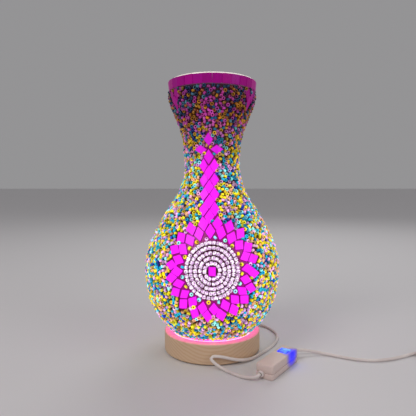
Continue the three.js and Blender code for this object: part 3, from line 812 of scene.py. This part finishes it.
# loose ring beads poured over the rest
SEED_BEAD = bead_shape(0.0038, 0.0014, 0.0023, 10, 8)
SPACING = 0.0026                  # least distance between beads as they fall
SETTLED = 0.0031                  # distance they push each other to
DISC_CLEAR = 0.0370               # the loose beads keep this far from a medallion's middle
FIELD_Z = (0.0246, 0.2652)
BEAD_LIFT = 0.001                 # height above the glass at which they are pushed about
FLAT_LIFT, EDGE_LIFT = 0.0019, 0.0023     # heights at which flat and standing beads end up
BEAD_GAP = 0.0012                 # from a loose bead's middle to the nearest tile's edge
TILE_REACH = 0.0125               # beads farther than this from a tile's middle are clear of it
UNDER_DISC = 0.0265               # the bed is dark again within this distance of a medallion's middle


def rain(count=110000):
    """Bead places thrown at random on the vase, none nearer to another than SPACING."""
    z = random.uniform(*FIELD_Z, count)
    radius = np.interp(z, WALL_Z, WALL_R)
    weight = radius * np.sqrt(1 + np.interp(z, WALL_Z, WALL_SLOPE) ** 2)
    z = z[random.random(count) < weight / weight.max()]
    angle = random.random(len(z)) * TAU
    free = clear_of_tiles(angle, z)
    z, angle = z[free], angle[free]
    place = on_vase(0, z, BEAD_LIFT, angle)[0]
    cells, kept = {}, []
    for index, point in enumerate(place):
        cell = tuple((point // SPACING).astype(int))
        near = (other for dx in (-1, 0, 1) for dy in (-1, 0, 1) for dz in (-1, 0, 1)
                for other in cells.get((cell[0] + dx, cell[1] + dy, cell[2] + dz), ()))
        if all(((place[other] - point) ** 2).sum() > SPACING ** 2 for other in near):
            cells.setdefault(cell, []).append(index)
            kept.append(index)
    return angle[kept], z[kept]


def medallion_offset(angle, z, side):
    """How far to the right of a medallion's middle, and how far above it, each place is."""
    around = (angle - TURNS[side] + math.pi) % TAU - math.pi
    return around * (np.interp(z, WALL_Z, WALL_R) + FACE_OUT), z - MEDALLION_Z


def shove(angle, z):
    """The way (right, up) that takes each bead clear of the tiles and discs, and how deep in it is."""
    place, right, up, outward = on_vase(0, z, BEAD_LIFT, angle)
    push = np.zeros((len(z), 2))
    worst = np.zeros(len(z))
    for side in SIDES:
        away = np.stack(medallion_offset(angle, z, side), -1)
        distance = np.hypot(*away.T)
        inside = distance < DISC_CLEAR
        push[inside] += away[inside] / distance[inside, None] * (DISC_CLEAR - distance[inside, None])
        worst = np.maximum(worst, DISC_CLEAR - distance)
    for middle, tile_right, tile_up, corners in all_tiles:
        offset = place - middle
        near = np.nonzero((offset ** 2).sum(axis=1) < TILE_REACH ** 2)[0]
        if not len(near):
            continue
        flat = np.stack([offset[near] @ tile_right, offset[near] @ tile_up], -1)
        edges = np.roll(corners, -1, axis=0) - corners
        normals = np.stack([edges[:, 1], -edges[:, 0]], -1)
        normals /= np.linalg.norm(normals, axis=1)[:, None]
        reach = ((flat[:, None] - corners[None]) * normals[None]).sum(axis=2)
        nearest = reach.argmax(axis=1)
        depth = BEAD_GAP - reach[np.arange(len(near)), nearest]
        hit = depth > 0
        push[near[hit]] += normals[nearest[hit]] * depth[hit, None]
        worst[near] = np.maximum(worst[near], depth)
    return push, worst


def clear_of_tiles(angle, z):
    return shove(angle, z)[1] < 0.0004


def settle(angle, z, rounds=14):
    """Beads push their neighbours apart until they lie close but hardly overlap."""
    for _ in range(rounds):
        place, right, up, outward = on_vase(0, z, BEAD_LIFT, angle)
        tree = KDTree(len(place))
        for index, point in enumerate(place):
            tree.insert(point, index)
        tree.balance()
        push = 0.8 * shove(angle, z)[0]
        for index, point in enumerate(place):
            for other, number, distance in tree.find_range(point, SETTLED):
                if number != index and distance > 1e-7:
                    away = (place[index] - place[number]) * (0.35 * (SETTLED - distance) / distance)
                    push[index] += (away @ right[index], away @ up[index])
        angle = angle + push[:, 0] / np.interp(z, WALL_Z, WALL_R)
        z = np.clip(z + push[:, 1] * up[:, 2], *FIELD_Z)
    clear = shove(angle, z)[1] < 0.0007
    return angle[clear], z[clear]


def bed():
    """The skin of adhesive that the beads and tiles are set in: dark, and magenta where a tile lights it."""
    rows, columns = 150, 220
    heights = np.linspace(MOSAIC_FOOT, MOSAIC_TOP, rows)
    angles = np.arange(columns) * TAU / columns
    loops = []
    for height in heights:
        loops.append(on_vase(0, height, BED_THICK + 0.0003 * random.random(columns), angles)[0])
    for height in heights[::-1]:
        loops.append(on_vase(0, height, 0.0001, angles)[0])
    vertices = np.concatenate(loops)
    mesh = mesh_of(vertices, walls(len(loops), columns, wrap=True))
    z = vertices[:, 2]
    around = np.tile(angles, len(loops))
    beside = np.clip(shove(around, z)[1] / 0.0006, 0, 1)[:, None]
    for side in SIDES:
        beside[np.hypot(*medallion_offset(around, z, side)) < UNDER_DISC] = 0
    grouted = np.interp(z, GROUT_Z, [0, 1])[:, None]
    tints = (1 - beside) * linear(96, 2, 48) + beside * linear(178, 0, 138)
    tints = (1 - grouted) * tints + grouted * linear(225, 150, 205)
    set_values(mesh, "tint", tints)
    set_values(mesh, "glow", (0.32 + 0.35 * beside[:, 0] + 0.55 * grouted[:, 0]) * light_at(z))
    material = glowing_glass("adhesive", 0.35, gain=0.8)
    piece("adhesive_bed", mesh, material, VASE, "adhesive", sharp=None)


bed()


# Colours of the loose beads: slot, colour on the belly, colour on the dim flare, share on each.
BEAD_COLOURS = (
    ("yellow_beads", linear(250, 228, 24), linear(200, 130, 0), 0.35, 0.30),
    ("turquoise_beads", linear(0, 175, 215), linear(0, 70, 110), 0.19, 0.22),
    ("aqua_beads", linear(150, 242, 245), linear(80, 140, 170), 0.09, 0.05),
    ("pink_beads", linear(238, 175, 232), linear(200, 60, 165), 0.20, 0.26),
    ("amber_beads", linear(240, 176, 130), linear(160, 80, 30), 0.13, 0.10),
    ("blue_beads", linear(10, 60, 190), linear(20, 20, 110), 0.04, 0.07),
)
NOTCH_RADIUS = 0.0282
NOTCH_SHARES = (0.45, 0.12, 0.2, 0.23)      # yellow, turquoise, aqua and pink beads round the discs
PATCH_Z = 0.243                   # the flare is thick with pink beads above each medallion, centred here
PATCH_SIZE = (0.30, 0.019)        # its half width in radians and half height
PATCH_COLOUR = 3                  # pink
PATCH_SHARE = 0.65                # of the beads in its middle
FLARE_Z = (0.18, 0.24)            # the belly's colours give way to the flare's between these heights
FLAT_SHARE = 0.48                 # beads lying flat; the others stand on edge
LEAN = 0.36                       # how unevenly they lie, in radians
CHUNK = 980                       # beads in one piece at most


def notch_beads():
    """The single beads in the notches between a medallion's disc and its inner petals."""
    angles, heights = [], []
    for side in SIDES:
        for k in range(PETALS):
            x, z = polar(NOTCH_RADIUS + random.normal(0, 0.0003),
                         PHASE + (k + 0.5) * STEP + random.normal(0, 0.6))
            angles.append(TURNS[side] + x / (np.interp(z, WALL_Z, WALL_R) + FACE_OUT))
            heights.append(z)
    return np.array(angles), np.array(heights)


def bead_colours(angle, z, upper, in_notch):
    """Which of BEAD_COLOURS each bead has, and how much brighter than its neighbours it is lit."""
    count = len(z)
    shares = np.array([(belly, flare) for _, _, _, belly, flare in BEAD_COLOURS])
    limits = np.cumsum(shares[:, 0] * (1 - upper[:, None]) + shares[:, 1] * upper[:, None], axis=1)
    choice = (random.random(count)[:, None] * limits[:, -1:] > limits).sum(axis=1)
    third = (angle + TAU / 6) % (TAU / 3) - TAU / 6
    in_patch = np.exp(-(third / PATCH_SIZE[0]) ** 2 - ((z - PATCH_Z) / PATCH_SIZE[1]) ** 2)
    choice[random.random(count) < PATCH_SHARE * in_patch] = PATCH_COLOUR
    choice[in_notch] = random.choice(len(NOTCH_SHARES), in_notch.sum(), p=NOTCH_SHARES)
    return choice, 1 + 0.7 * in_patch


def pour_beads():
    """The loose beads. Those that lie flat show their holes."""
    angle, z = settle(*rain())
    loose = len(z)
    notch_angle, notch_z = notch_beads()
    angle, z = np.concatenate([angle, notch_angle]), np.concatenate([z, notch_z])
    count = len(z)
    in_notch = np.arange(count) >= loose
    upper = np.clip((z - FLARE_Z[0]) / (FLARE_Z[1] - FLARE_Z[0]), 0, 1)
    flat = random.random(count) < FLAT_SHARE
    lean = np.where(flat, random.normal(0, LEAN, count), random.normal(math.pi / 2, LEAN, count))
    spin = random.random(count) * TAU
    lift = np.where(flat, FLAT_LIFT, EDGE_LIFT) + random.normal(0, 0.00015, count)
    place, right, up, outward = on_vase(0, z, lift, angle)
    rotations = axes(outward, right, lean, spin)
    sizes = random.uniform(0.93, 1.05, count)
    glows = light_at(z) * random.uniform(0.35, 1.35, count)
    glows[in_notch] = random.uniform(0.95, 1.25, count - loose)
    choice, boost = bead_colours(angle, z, upper, in_notch)
    glows *= boost
    nodes = ["bead_field"]
    for index, (slot, belly, flare, _, _) in enumerate(BEAD_COLOURS):
        material = glowing_glass(slot, 0.12, (1400, (1, 1, 1), 0.75, 1.25))
        chosen = np.nonzero(choice == index)[0]
        for part in range(0, len(chosen), CHUNK):
            own = chosen[part:part + CHUNK]
            mix = upper[own, None]
            tints = np.array(belly) * (1 - mix) + np.array(flare) * mix
            tints = np.clip(tints * random.uniform(0.82, 1.12, (len(own), 3)), 0, 1)
            bead_piece(f"{slot}_{part // CHUNK + 1}", SEED_BEAD, rotations[own], place[own], outward[own],
                       sizes[own], tints, glows[own], material, slot, *nodes)
            nodes = []


pour_beads()


# ------------------------------------------------------------------ carving helpers
def carved(mesh, cutters):
    """The mesh with each cutter, given as vertices and faces, taken out of it."""
    work = linked("work", mesh)
    tools = [linked("tool", mesh_of(*cutter)) for cutter in cutters]
    for tool in tools:
        cut = work.modifiers.new("cut", "BOOLEAN")
        cut.object = tool
        cut.solver = "EXACT"
    shape = bpy.data.meshes.new_from_object(work.evaluated_get(bpy.context.evaluated_depsgraph_get()))
    for thing in (work, *tools):
        bpy.data.objects.remove(thing)
    shape.materials.clear()
    return shape


def rod(radius, start, end, segments=32):
    """A plain cutter along Z."""
    return solid_lathe([(AXIS, start), (radius, start), (radius, end), (AXIS, end)], segments)


def middle_of(node):
    low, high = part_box(node)
    return (low + high) / 2


# ------------------------------------------------------------------ wooden base
BASE_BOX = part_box("base_body")
BASE_RADIUS = BASE_BOX[1].x
BASE_TOP = BASE_BOX[1].z
BASE_BOTTOM = BASE_BOX[0].z
WINDOW_RADIUS = 0.042
CAVITY_RADIUS = 0.038
REBATE_RADIUS = 0.046
REBATE_TOP = 0.0042
LEDGE_Z = 0.0177
SCREW_CIRCLE = 0.042
SCREW_TURNS = (90, 210, 330)
GLAND_TURN = 62.0                 # degrees round from the right
GLAND_Z = 0.010
GLAND_HOLE = 0.0029               # radius
SCREW_HOLE = 0.0017               # radius, in the wood and the cover
HEAD_RECESS = 0.0034              # radius of the screw heads' recesses in the cover


def wood_material():
    """Pale wood cut across the board: long figure on top, faint rings, fine pores, and a painted pink glow of
    the lamp's light on the top round the window.
    """
    shader = Shader("wood", Roughness=0.5, Emission_Color=linear(255, 44, 168))
    warp = shader.noise(9, (0.25, 1, 1), detail=2.0)
    heart = shader.place("TEXTURE", Location=(0, 0.03, -0.09))
    figure = shader.node("ShaderNodeTexWave", {
        "Vector": heart, "Scale": 110.0, "Distortion": 3.0, "Detail": 3.0, "Detail Scale": 0.6,
    }, wave_type="RINGS", rings_direction="X").outputs["Fac"]
    pores = shader.noise(260, (0.06, 1, 1), detail=4.0, roughness=0.7)
    grain = shader.times(figure, pores)
    tone = shader.node("ShaderNodeMath", {0: grain, 1: warp}, operation="ADD").outputs["Value"]
    shader.colour(tone, (0.3, linear(204, 166, 132)), (0.65, linear(213, 177, 143)),
                  (0.95, linear(220, 188, 156)))
    shader.rough(pores, 0.4, 0.62)
    shader.bump(grain, 0.00008, 0.25)
    # Painted light: a pink glow on the wood's top, brightest at the window's edge and fading outwards.
    painted_glow = shader.nearness((0, 0, BASE_TOP + 0.0002), (0.057, 0.057, 0.0022))
    shader.plug(shader.spread(painted_glow, 0.0, 4.2), "Emission Strength")
    return shader.material


def along_gland(distance):
    """Turns Z to run outwards along the gland, from this far off the base's middle."""
    return shift(z=GLAND_Z) @ turned("Z", GLAND_TURN) @ turned("Y") @ shift(z=distance)


def screw_place(degrees):
    angle = math.radians(degrees)
    return shift(SCREW_CIRCLE * math.cos(angle), SCREW_CIRCLE * math.sin(angle))


def round_corner(centre, radius, start, end, steps=5):
    """Profile points round a corner, from one angle to another in degrees."""
    angles = [math.radians(start + (end - start) * k / steps) for k in range(steps + 1)]
    return [(centre[0] + radius * math.cos(a), centre[1] + radius * math.sin(a)) for a in angles]


def base_puck():
    profile = [(REBATE_RADIUS, BASE_BOTTOM)]
    profile += round_corner((BASE_RADIUS - 0.0012, BASE_BOTTOM + 0.0012), 0.0012, -90, 0)
    profile += [(BASE_RADIUS, z) for z in np.linspace(BASE_BOTTOM + 0.003, BASE_TOP - 0.004, 6)]
    profile += round_corner((BASE_RADIUS - 0.0018, BASE_TOP - 0.0018), 0.0018, 0, 90, 7)
    profile += [(0.046, BASE_TOP), (0.044, BASE_TOP)]
    profile += round_corner((WINDOW_RADIUS + 0.0004, BASE_TOP - 0.0004), 0.0004, 90, 180, 3)
    profile += [(WINDOW_RADIUS, LEDGE_Z), (CAVITY_RADIUS, LEDGE_Z), (CAVITY_RADIUS, 0.011),
                (CAVITY_RADIUS, REBATE_TOP), (REBATE_RADIUS, REBATE_TOP)]
    cutters = [placed(rod(GLAND_HOLE, 0.034, 0.056), along_gland(0))]
    for turn in SCREW_TURNS:
        cutters.append(placed(rod(SCREW_HOLE, REBATE_TOP - 0.001, 0.0135, 20), screw_place(turn)))
    mesh = carved(mesh_of(*lathe(profile, 144)), cutters)
    piece("base_wood", mesh, wood_material(), BASE, "wood", "base_body")


def bottom_plate():
    low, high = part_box("bottom_cover")
    radius = high.x
    profile = [(AXIS, low.z + 0.0003), (0.02, low.z + 0.0003), (0.0205, low.z), (radius - 0.0006, low.z)]
    profile += round_corner((radius - 0.0004, low.z + 0.0004), 0.0004, -60, 0, 3)
    profile += round_corner((radius - 0.0003, high.z - 0.0003), 0.0003, 0, 90, 3)
    profile += [(AXIS, high.z)]
    cutters = []
    for turn in SCREW_TURNS:
        cutters.append(placed(rod(SCREW_HOLE, 0, 0.006, 20), screw_place(turn)))
        cutters.append(placed(rod(HEAD_RECESS, 0, 0.0029, 24), screw_place(turn)))
    mesh = carved(mesh_of(*solid_lathe(profile, 96)), cutters)
    material = moulded_plastic("black_plastic", linear(34, 34, 36), 0.5)
    piece("base_cover", mesh, material, BASE, "black_plastic", "bottom_cover")


def metal(name, color, roughness=0.3):
    shader = Shader(name, Metallic=1.0, Roughness=roughness)
    brushed = shader.noise(900, (1, 1, 0.1), detail=3.0)
    dull = tuple(0.75 * c for c in color)
    shader.colour(brushed, (0.3, dull), (0.7, color))
    shader.rough(brushed, roughness - 0.08, roughness + 0.12)
    shader.bump(brushed, 0.00002, 0.5)
    return shader.material


STEEL = metal("steel", linear(200, 200, 205))


def screws():
    for number, turn in enumerate(SCREW_TURNS, 1):
        low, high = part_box(f"cover_screw_{number}")
        z = low.z
        profile = [(AXIS, z), (0.0016, z), (0.0025, z + 0.0002), (0.0029, z + 0.0006), (0.0029, z + 0.001),
                   (0.0014, z + 0.0011)]
        for height in np.arange(z + 0.0018, high.z - 0.0012, 0.0008):
            profile += [(0.0012, height), (0.00145, height + 0.0003)]
        profile += [(0.0011, high.z - 0.0008), (AXIS, high.z)]
        slots = [stack(*size, 0.0002, [(z - 0.001, 0), (z + 0.0007, 0)])
                 for size in ((0.003, 0.0006), (0.0006, 0.003))]
        mesh = carved(mesh_of(*solid_lathe(profile, 32)), slots)
        mesh.transform(screw_place(turn))
        piece(f"screw_{number}", mesh, STEEL, BASE, "steel", f"cover_screw_{number}")


def felt_material():
    shader = Shader("felt", Roughness=0.95, Sheen_Weight=0.4)
    fuzz = shader.noise(1500, detail=5.0, roughness=0.8)
    shader.colour(fuzz, (0.3, linear(58, 50, 44)), (0.7, linear(96, 84, 74)))
    shader.bump(fuzz, 0.0002, 0.6)
    return shader.material


def feet():
    felt = felt_material()
    for number in range(1, 5):
        low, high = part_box(f"foot_{number}")
        radius = (high.x - low.x) / 2
        profile = [(AXIS, low.z), (radius - 0.0004, low.z)]
        profile += round_corner((radius - 0.0003, low.z + 0.0003), 0.0003, -60, 0, 3)
        profile += [(radius, high.z - 0.0003), (radius - 0.0001, high.z), (AXIS, high.z)]
        middle = middle_of(f"foot_{number}")
        shape = placed(solid_lathe(profile, 40), shift(middle.x, middle.y))
        piece(f"felt_foot_{number}", shape, felt, BASE, "felt", f"foot_{number}")


def rib(radius, z, length, depth, pitch):
    """Profile points of one rib and the groove after it."""
    groove = radius - depth
    return [(radius, z), (radius, z + length), (groove, z + length + 0.0001), (groove, z + pitch)]


def sleeve(profile, bore, segments=36):
    """A turned sleeve: its outer profile of (radius, z), closed by a straight bore."""
    start, end = profile[0][1], profile[-1][1]
    return flipped(*lathe([*profile, (bore, end), (bore, start)], segments))


def gland():
    ribs = []
    for k in range(5):
        z = 0.0031 + 0.00115 * k
        radius = 0.00305 - 0.00014 * k
        ribs += rib(radius, z, 0.0006, 0.00035, 0.0011)
    profile = [(0.0034, -0.0131), (0.0034, -0.0126), (0.0025, -0.0126), (0.0025, 0.0004), (0.0034, 0.0004),
               (0.0036, 0.0006), (0.0036, 0.0013), (0.0034, 0.0017), *ribs, (0.0022, 0.009)]
    shape = placed(sleeve(profile, 0.00185), along_gland(BASE_RADIUS))
    return piece("gland", shape, SHEATH, BASE, "cord_sheath", "cord_gland")


base_puck()
bottom_plate()
screws()
feet()
gland_piece = gland()


# ------------------------------------------------------------------ inline switch
SWITCH_MIDDLE = middle_of("switch_lower_shell")
SWITCH_TURN = 54.9                # degrees round from the right
SWITCH_SIZE = (0.054, 0.017)
SWITCH_WALL = 0.0016
SWITCH_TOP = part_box("switch_upper_shell")[1].z
SWITCH_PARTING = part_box("switch_lower_shell")[1].z
BUTTON_ALONG = 0.013
BUTTON_SIZE = (0.011, 0.010)
NEAR_BUSH = (-0.027, 0.0026, 0.0046)
FAR_BUSH = (0.027, -0.0015, 0.0062)
BUSH_HOLE = 0.0026                # radius, in the shells
CORD_BORE = 0.0018                # radius of the hole the cord takes through a bush
SWITCH_PLACE = shift(SWITCH_MIDDLE.x, SWITCH_MIDDLE.y) @ turned("Z", SWITCH_TURN)


def switch_material():
    """Off-white plastic that lets the indicator's blue light through beside and round the button."""
    shader = Shader("white_plastic", Roughness=0.42, Emission_Color=linear(24, 20, 255))
    shader.bump(shader.noise(3000), 0.00004, 0.5)
    shader.rough(shader.noise(900), 0.36, 0.5)
    plain, halo, deep = linear(224, 202, 194), linear(132, 112, 214), linear(30, 26, 150)
    reach = shader.nearness(SWITCH_PLACE @ Vector((BUTTON_ALONG + 0.001, -0.0082, 0.0098)),
                            (0.0135, 0.0105, 0.0125), SWITCH_TURN)
    shader.colour(reach, (0.0, plain), (0.4, halo), (0.8, deep))
    shader.plug(shader.spread(shader.times(reach, reach), 0.0, 1.9), "Emission Strength")
    return shader.material


def bush_hole(place):
    return placed(rod(BUSH_HOLE, -0.004, 0.004, 24), shift(*place) @ turned("Y"))


def switch_shell(name, node, levels, hollow_levels, plastic, *openings):
    length, width = SWITCH_SIZE
    outside = stack(length, width, 0.002, levels)
    hollow = stack(length - 2 * SWITCH_WALL, width - 2 * SWITCH_WALL, 0.0016, hollow_levels)
    mesh = carved(mesh_of(*outside), [hollow, *openings, bush_hole(NEAR_BUSH), bush_hole(FAR_BUSH)])
    mesh.transform(SWITCH_PLACE)
    return piece(name, mesh, plastic, BASE, "white_plastic", node, sharp=50)


def switch_shells():
    plastic = switch_material()
    top, parting, seam = SWITCH_TOP, SWITCH_PARTING, SWITCH_PARTING + 0.0003
    switch_shell("switch_bottom_half", "switch_lower_shell", [
        (0.0, 0.0009), (0.0002, 0.0004), (0.0007, 0.0), (0.0028, 0.0), (parting - 0.0003, 0.0),
        (parting, 0.0003)], [(SWITCH_WALL, 0), (parting + 0.001, 0)], plastic)
    opening = stack(BUTTON_SIZE[0] + 0.0008, BUTTON_SIZE[1] + 0.0008, 0.0016,
                    [(top - 0.003, 0), (top + 0.001, 0)])
    return switch_shell("switch_top_half", "switch_upper_shell", [
        (seam, 0.0003), (seam + 0.0003, 0.0), (0.009, 0.0), (top - 0.0014, 0.0), (top - 0.0007, 0.0002),
        (top - 0.0002, 0.0006), (top, 0.0011)], [(parting - 0.001, 0), (top - SWITCH_WALL, 0)], plastic,
        placed(opening, shift(BUTTON_ALONG)))


def lens_material():
    """Blue-lit translucent plastic, cloudy brighter and darker as the light behind it is."""
    shader = Shader("blue_lens", Roughness=0.3)
    cloud = shader.noise(150, detail=1.0)
    shade = shader.colour(cloud, (0.32, linear(28, 40, 232)), (0.5, linear(42, 80, 255)),
                          (0.68, linear(80, 145, 255)))
    shader.lit(shade, shader.spread(cloud, 0.85, 1.25), casts=True)
    shader.bump(shader.noise(2200), 0.00005, 0.6)
    return shader.material


LENS = lens_material()


def switch_cap():
    """The button: a slab with rounded edges and a slightly dished top."""
    low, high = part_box("switch_button")
    width, depth = BUTTON_SIZE
    top = high.z
    levels = [(low.z, 0.0002), (low.z + 0.0002, 0), (top - 0.0006, 0), (top - 0.0003, 0.0001),
              (top - 0.0001, 0.0003), (top, 0.0007), (top - 0.00005, 0.0022), (top - 0.0001, 0.0035)]
    loops = []
    for z, inset in levels:
        shrink = 2 * max(inset - 0.0008, 0)
        outline = rounded(width - shrink, depth - shrink, 0.0013, min(inset, 0.0008))
        loops.append([(x, y, z) for x, y in outline])
    shape = placed(bridge(loops), SWITCH_PLACE @ shift(BUTTON_ALONG))
    piece("switch_cap", shape, LENS, BUTTON, "blue_lens", "switch_button")


def bush(name, place, turned_round, node):
    profile = [(0.0023, -0.0024), (0.0023, 0.0003), (0.0025, 0.0004), (0.0029, 0.0004), (0.00295, 0.0007),
               (0.00285, 0.0011), (0.0026, 0.0013), (0.0026, 0.0016), (0.00275, 0.0018), (0.0026, 0.0024),
               (0.0023, 0.0026)]
    matrix = SWITCH_PLACE @ shift(*place) @ turned("Y", -90 if turned_round else 90)
    return piece(name, placed(sleeve(profile, CORD_BORE), matrix), SHEATH, BASE, "cord_sheath", node)


shell_piece = switch_shells()
switch_cap()
near_bush = bush("bush_near", NEAR_BUSH, True, "switch_bush_near")
far_bush = bush("bush_far", FAR_BUSH, False, "switch_bush_far")


# ------------------------------------------------------------------ plug and tie
PLUG_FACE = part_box("plug_relief")[1].y
PLUG_PLACE = shift(middle_of("plug_body").x, PLUG_FACE, middle_of("plug_body").z) @ turned("X")


def extent(node):
    """The size of a node of the plug, and where it starts and ends along the plug."""
    low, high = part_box(node)
    start = PLUG_FACE - high.y
    return high - low, start, start + high.y - low.y


def plug_collar():
    profile = [(AXIS, 0.0), (0.0019, 0.0)]
    for k in range(6):
        profile += rib(0.0021 + 0.00017 * k, 0.0008 + 0.0013 * k, 0.0007, 0.0004, 0.0012)
    profile += [(0.0031, 0.0086), (AXIS, 0.0087)]
    shape = placed(solid_lathe(profile, 32), PLUG_PLACE)
    return piece("plug_collar", shape, SHEATH, BASE, "cord_sheath", "plug_relief")


def plug_housing():
    size, start, end = extent("plug_body")
    levels = [(start, 0.0016), (start + 0.0002, 0.0008), (start + 0.0008, 0.0002), (start + 0.002, 0.0)]
    for k in range(5):
        z = start + 0.005 + 0.0022 * k
        levels += [(z, 0.0), (z + 0.0003, 0.00035), (z + 0.0009, 0.00035), (z + 0.0012, 0.0)]
    levels += [(end - 0.002, 0.0), (end - 0.0008, 0.0001), (end - 0.0002, 0.0004), (end, 0.0009)]
    plastic = moulded_plastic("plug_plastic", linear(226, 218, 214), 0.4)
    shape = placed(stack(size.x, size.z, 0.002, levels), PLUG_PLACE)
    return piece("plug_housing", shape, plastic, BASE, "white_plastic", "plug_body")


def plug_metal():
    """The plug's sheet-metal shell, with the two windows that its socket's springs catch in."""
    size, start, end = extent("plug_shell")
    outer = stack(size.x, size.z, 0.0006, [(start, 0), (end - 0.0003, 0), (end, 0.00012)])
    cutters = [stack(size.x - 0.0008, size.z - 0.0008, 0.0004, [(start - 0.001, 0), (end + 0.001, 0)])]
    for x in (-0.0025, 0.0025):
        window = stack(0.0022, 0.0022, 0.0003, [(-0.01, 0), (0.01, 0)])
        cutters.append(placed(window, shift(x, 0, start + 0.0065) @ turned("X")))
    mesh = carved(mesh_of(*outer), cutters)
    mesh.transform(PLUG_PLACE)
    return piece("plug_metal", mesh, STEEL, BASE, "steel", "plug_shell")


def tie():
    """A flat strap with rounded edges, round the section of the coil."""
    wall, half = 0.0006, 0.0025           # its thickness and half its width
    middle = 0.0165                       # of the coil's section, off the coil's axis
    width, height = 0.0135, COIL_BOX[1].z + 0.0009
    outside, inside = (
        [(x + middle, z + height / 2) for x, z in
         rounded(width - 2 * inset, height - 2 * inset, 0.0012 - inset * 0.6)] for inset in (0.0, wall))
    section = ((outside, -half, 0.997), (outside, 0.0004 - half, 1), (outside, 0, 1),
               (outside, half - 0.0004, 1), (outside, half, 0.997), (inside, half, 1), (inside, 0, 1),
               (inside, -half, 1))
    loops = [[(x, y, z * squeeze) for x, z in outline] for outline, y, squeeze in section]
    shape = placed(flipped(*hoop(loops)), shift(COIL_MIDDLE.x, COIL_MIDDLE.y) @ turned("Z", -60))
    plastic = moulded_plastic("tie_plastic", linear(30, 30, 32), 0.45)
    return piece("coil_tie", shape, plastic, BASE, "black_plastic", "cord_tie")


plug_pieces = (plug_collar(), plug_housing(), plug_metal())
tie_piece = tie()


# ------------------------------------------------------------------ the CAD parts shown as they are
def frosted_material():
    """Frosted window lit from below."""
    shader = Shader("frosted_acrylic", Roughness=0.4)
    inwards = shader.nearness((0, 0, LEDGE_Z), (WINDOW_RADIUS, WINDOW_RADIUS, 0.05))
    shade = shader.colour(inwards, (0.0, linear(255, 215, 236)), (0.025, linear(255, 236, 246)),
                          (0.045, linear(255, 110, 215)), (1.0, linear(255, 190, 240)))
    shader.lit(shade, shader.spread(shader.noise(40, detail=3.0), 0.85, 1.1), casts=True)
    shader.bump(shader.noise(1800), 0.00005, 0.4)
    return shader.material


def board_material():
    shader = Shader("circuit_board", Roughness=0.35)
    tracks = shader.node("ShaderNodeTexVoronoi", {"Vector": shader.place(), "Scale": 260.0},
                         feature="DISTANCE_TO_EDGE", distance="MANHATTAN").outputs["Distance"]
    shader.colour(tracks, (0.02, linear(70, 130, 80)), (0.08, linear(24, 82, 44)))
    shader.bump(tracks, 0.00005, 0.4)
    return shader.material


def lit_led_material():
    shader = Shader("led_package", Roughness=0.3)
    spot = shader.noise(500)
    shader.lit(shader.colour(spot, (0.35, linear(255, 120, 230)), (0.65, linear(255, 220, 250))),
               shader.spread(spot, 2.0, 3.5), casts=True)
    return shader.material


WHITE = moulded_plastic("white_inner_plastic", linear(235, 232, 230), 0.35)
BLACK = moulded_plastic("black_inner_plastic", linear(26, 26, 28), 0.45)
BOARD = board_material()
LED = lit_led_material()
KEPT = {
    "diffuser": frosted_material(), "reflector_cup": WHITE, "led_board": BOARD, "switch_board": BOARD,
    "tact_switch": BLACK, "indicator_led": LENS, "inner_lead": SHEATH, "plug_tongue": BLACK,
    **{f"led_{k}": LED for k in range(1, 7)},
}
for node, material in KEPT.items():
    NODES[node].data.materials.clear()
    NODES[node].data.materials.append(material)

floor_mesh = mesh_of([(-15, -15, 0), (15, -15, 0), (15, 15, 0), (-15, 15, 0)], [(0, 1, 2, 3)])
floor = linked("floor", floor_mesh)
floor_shader = Shader("floor", Roughness=0.55, Base_Color=(0.72, 0.70, 0.71))
floor.data.materials.append(floor_shader.material)
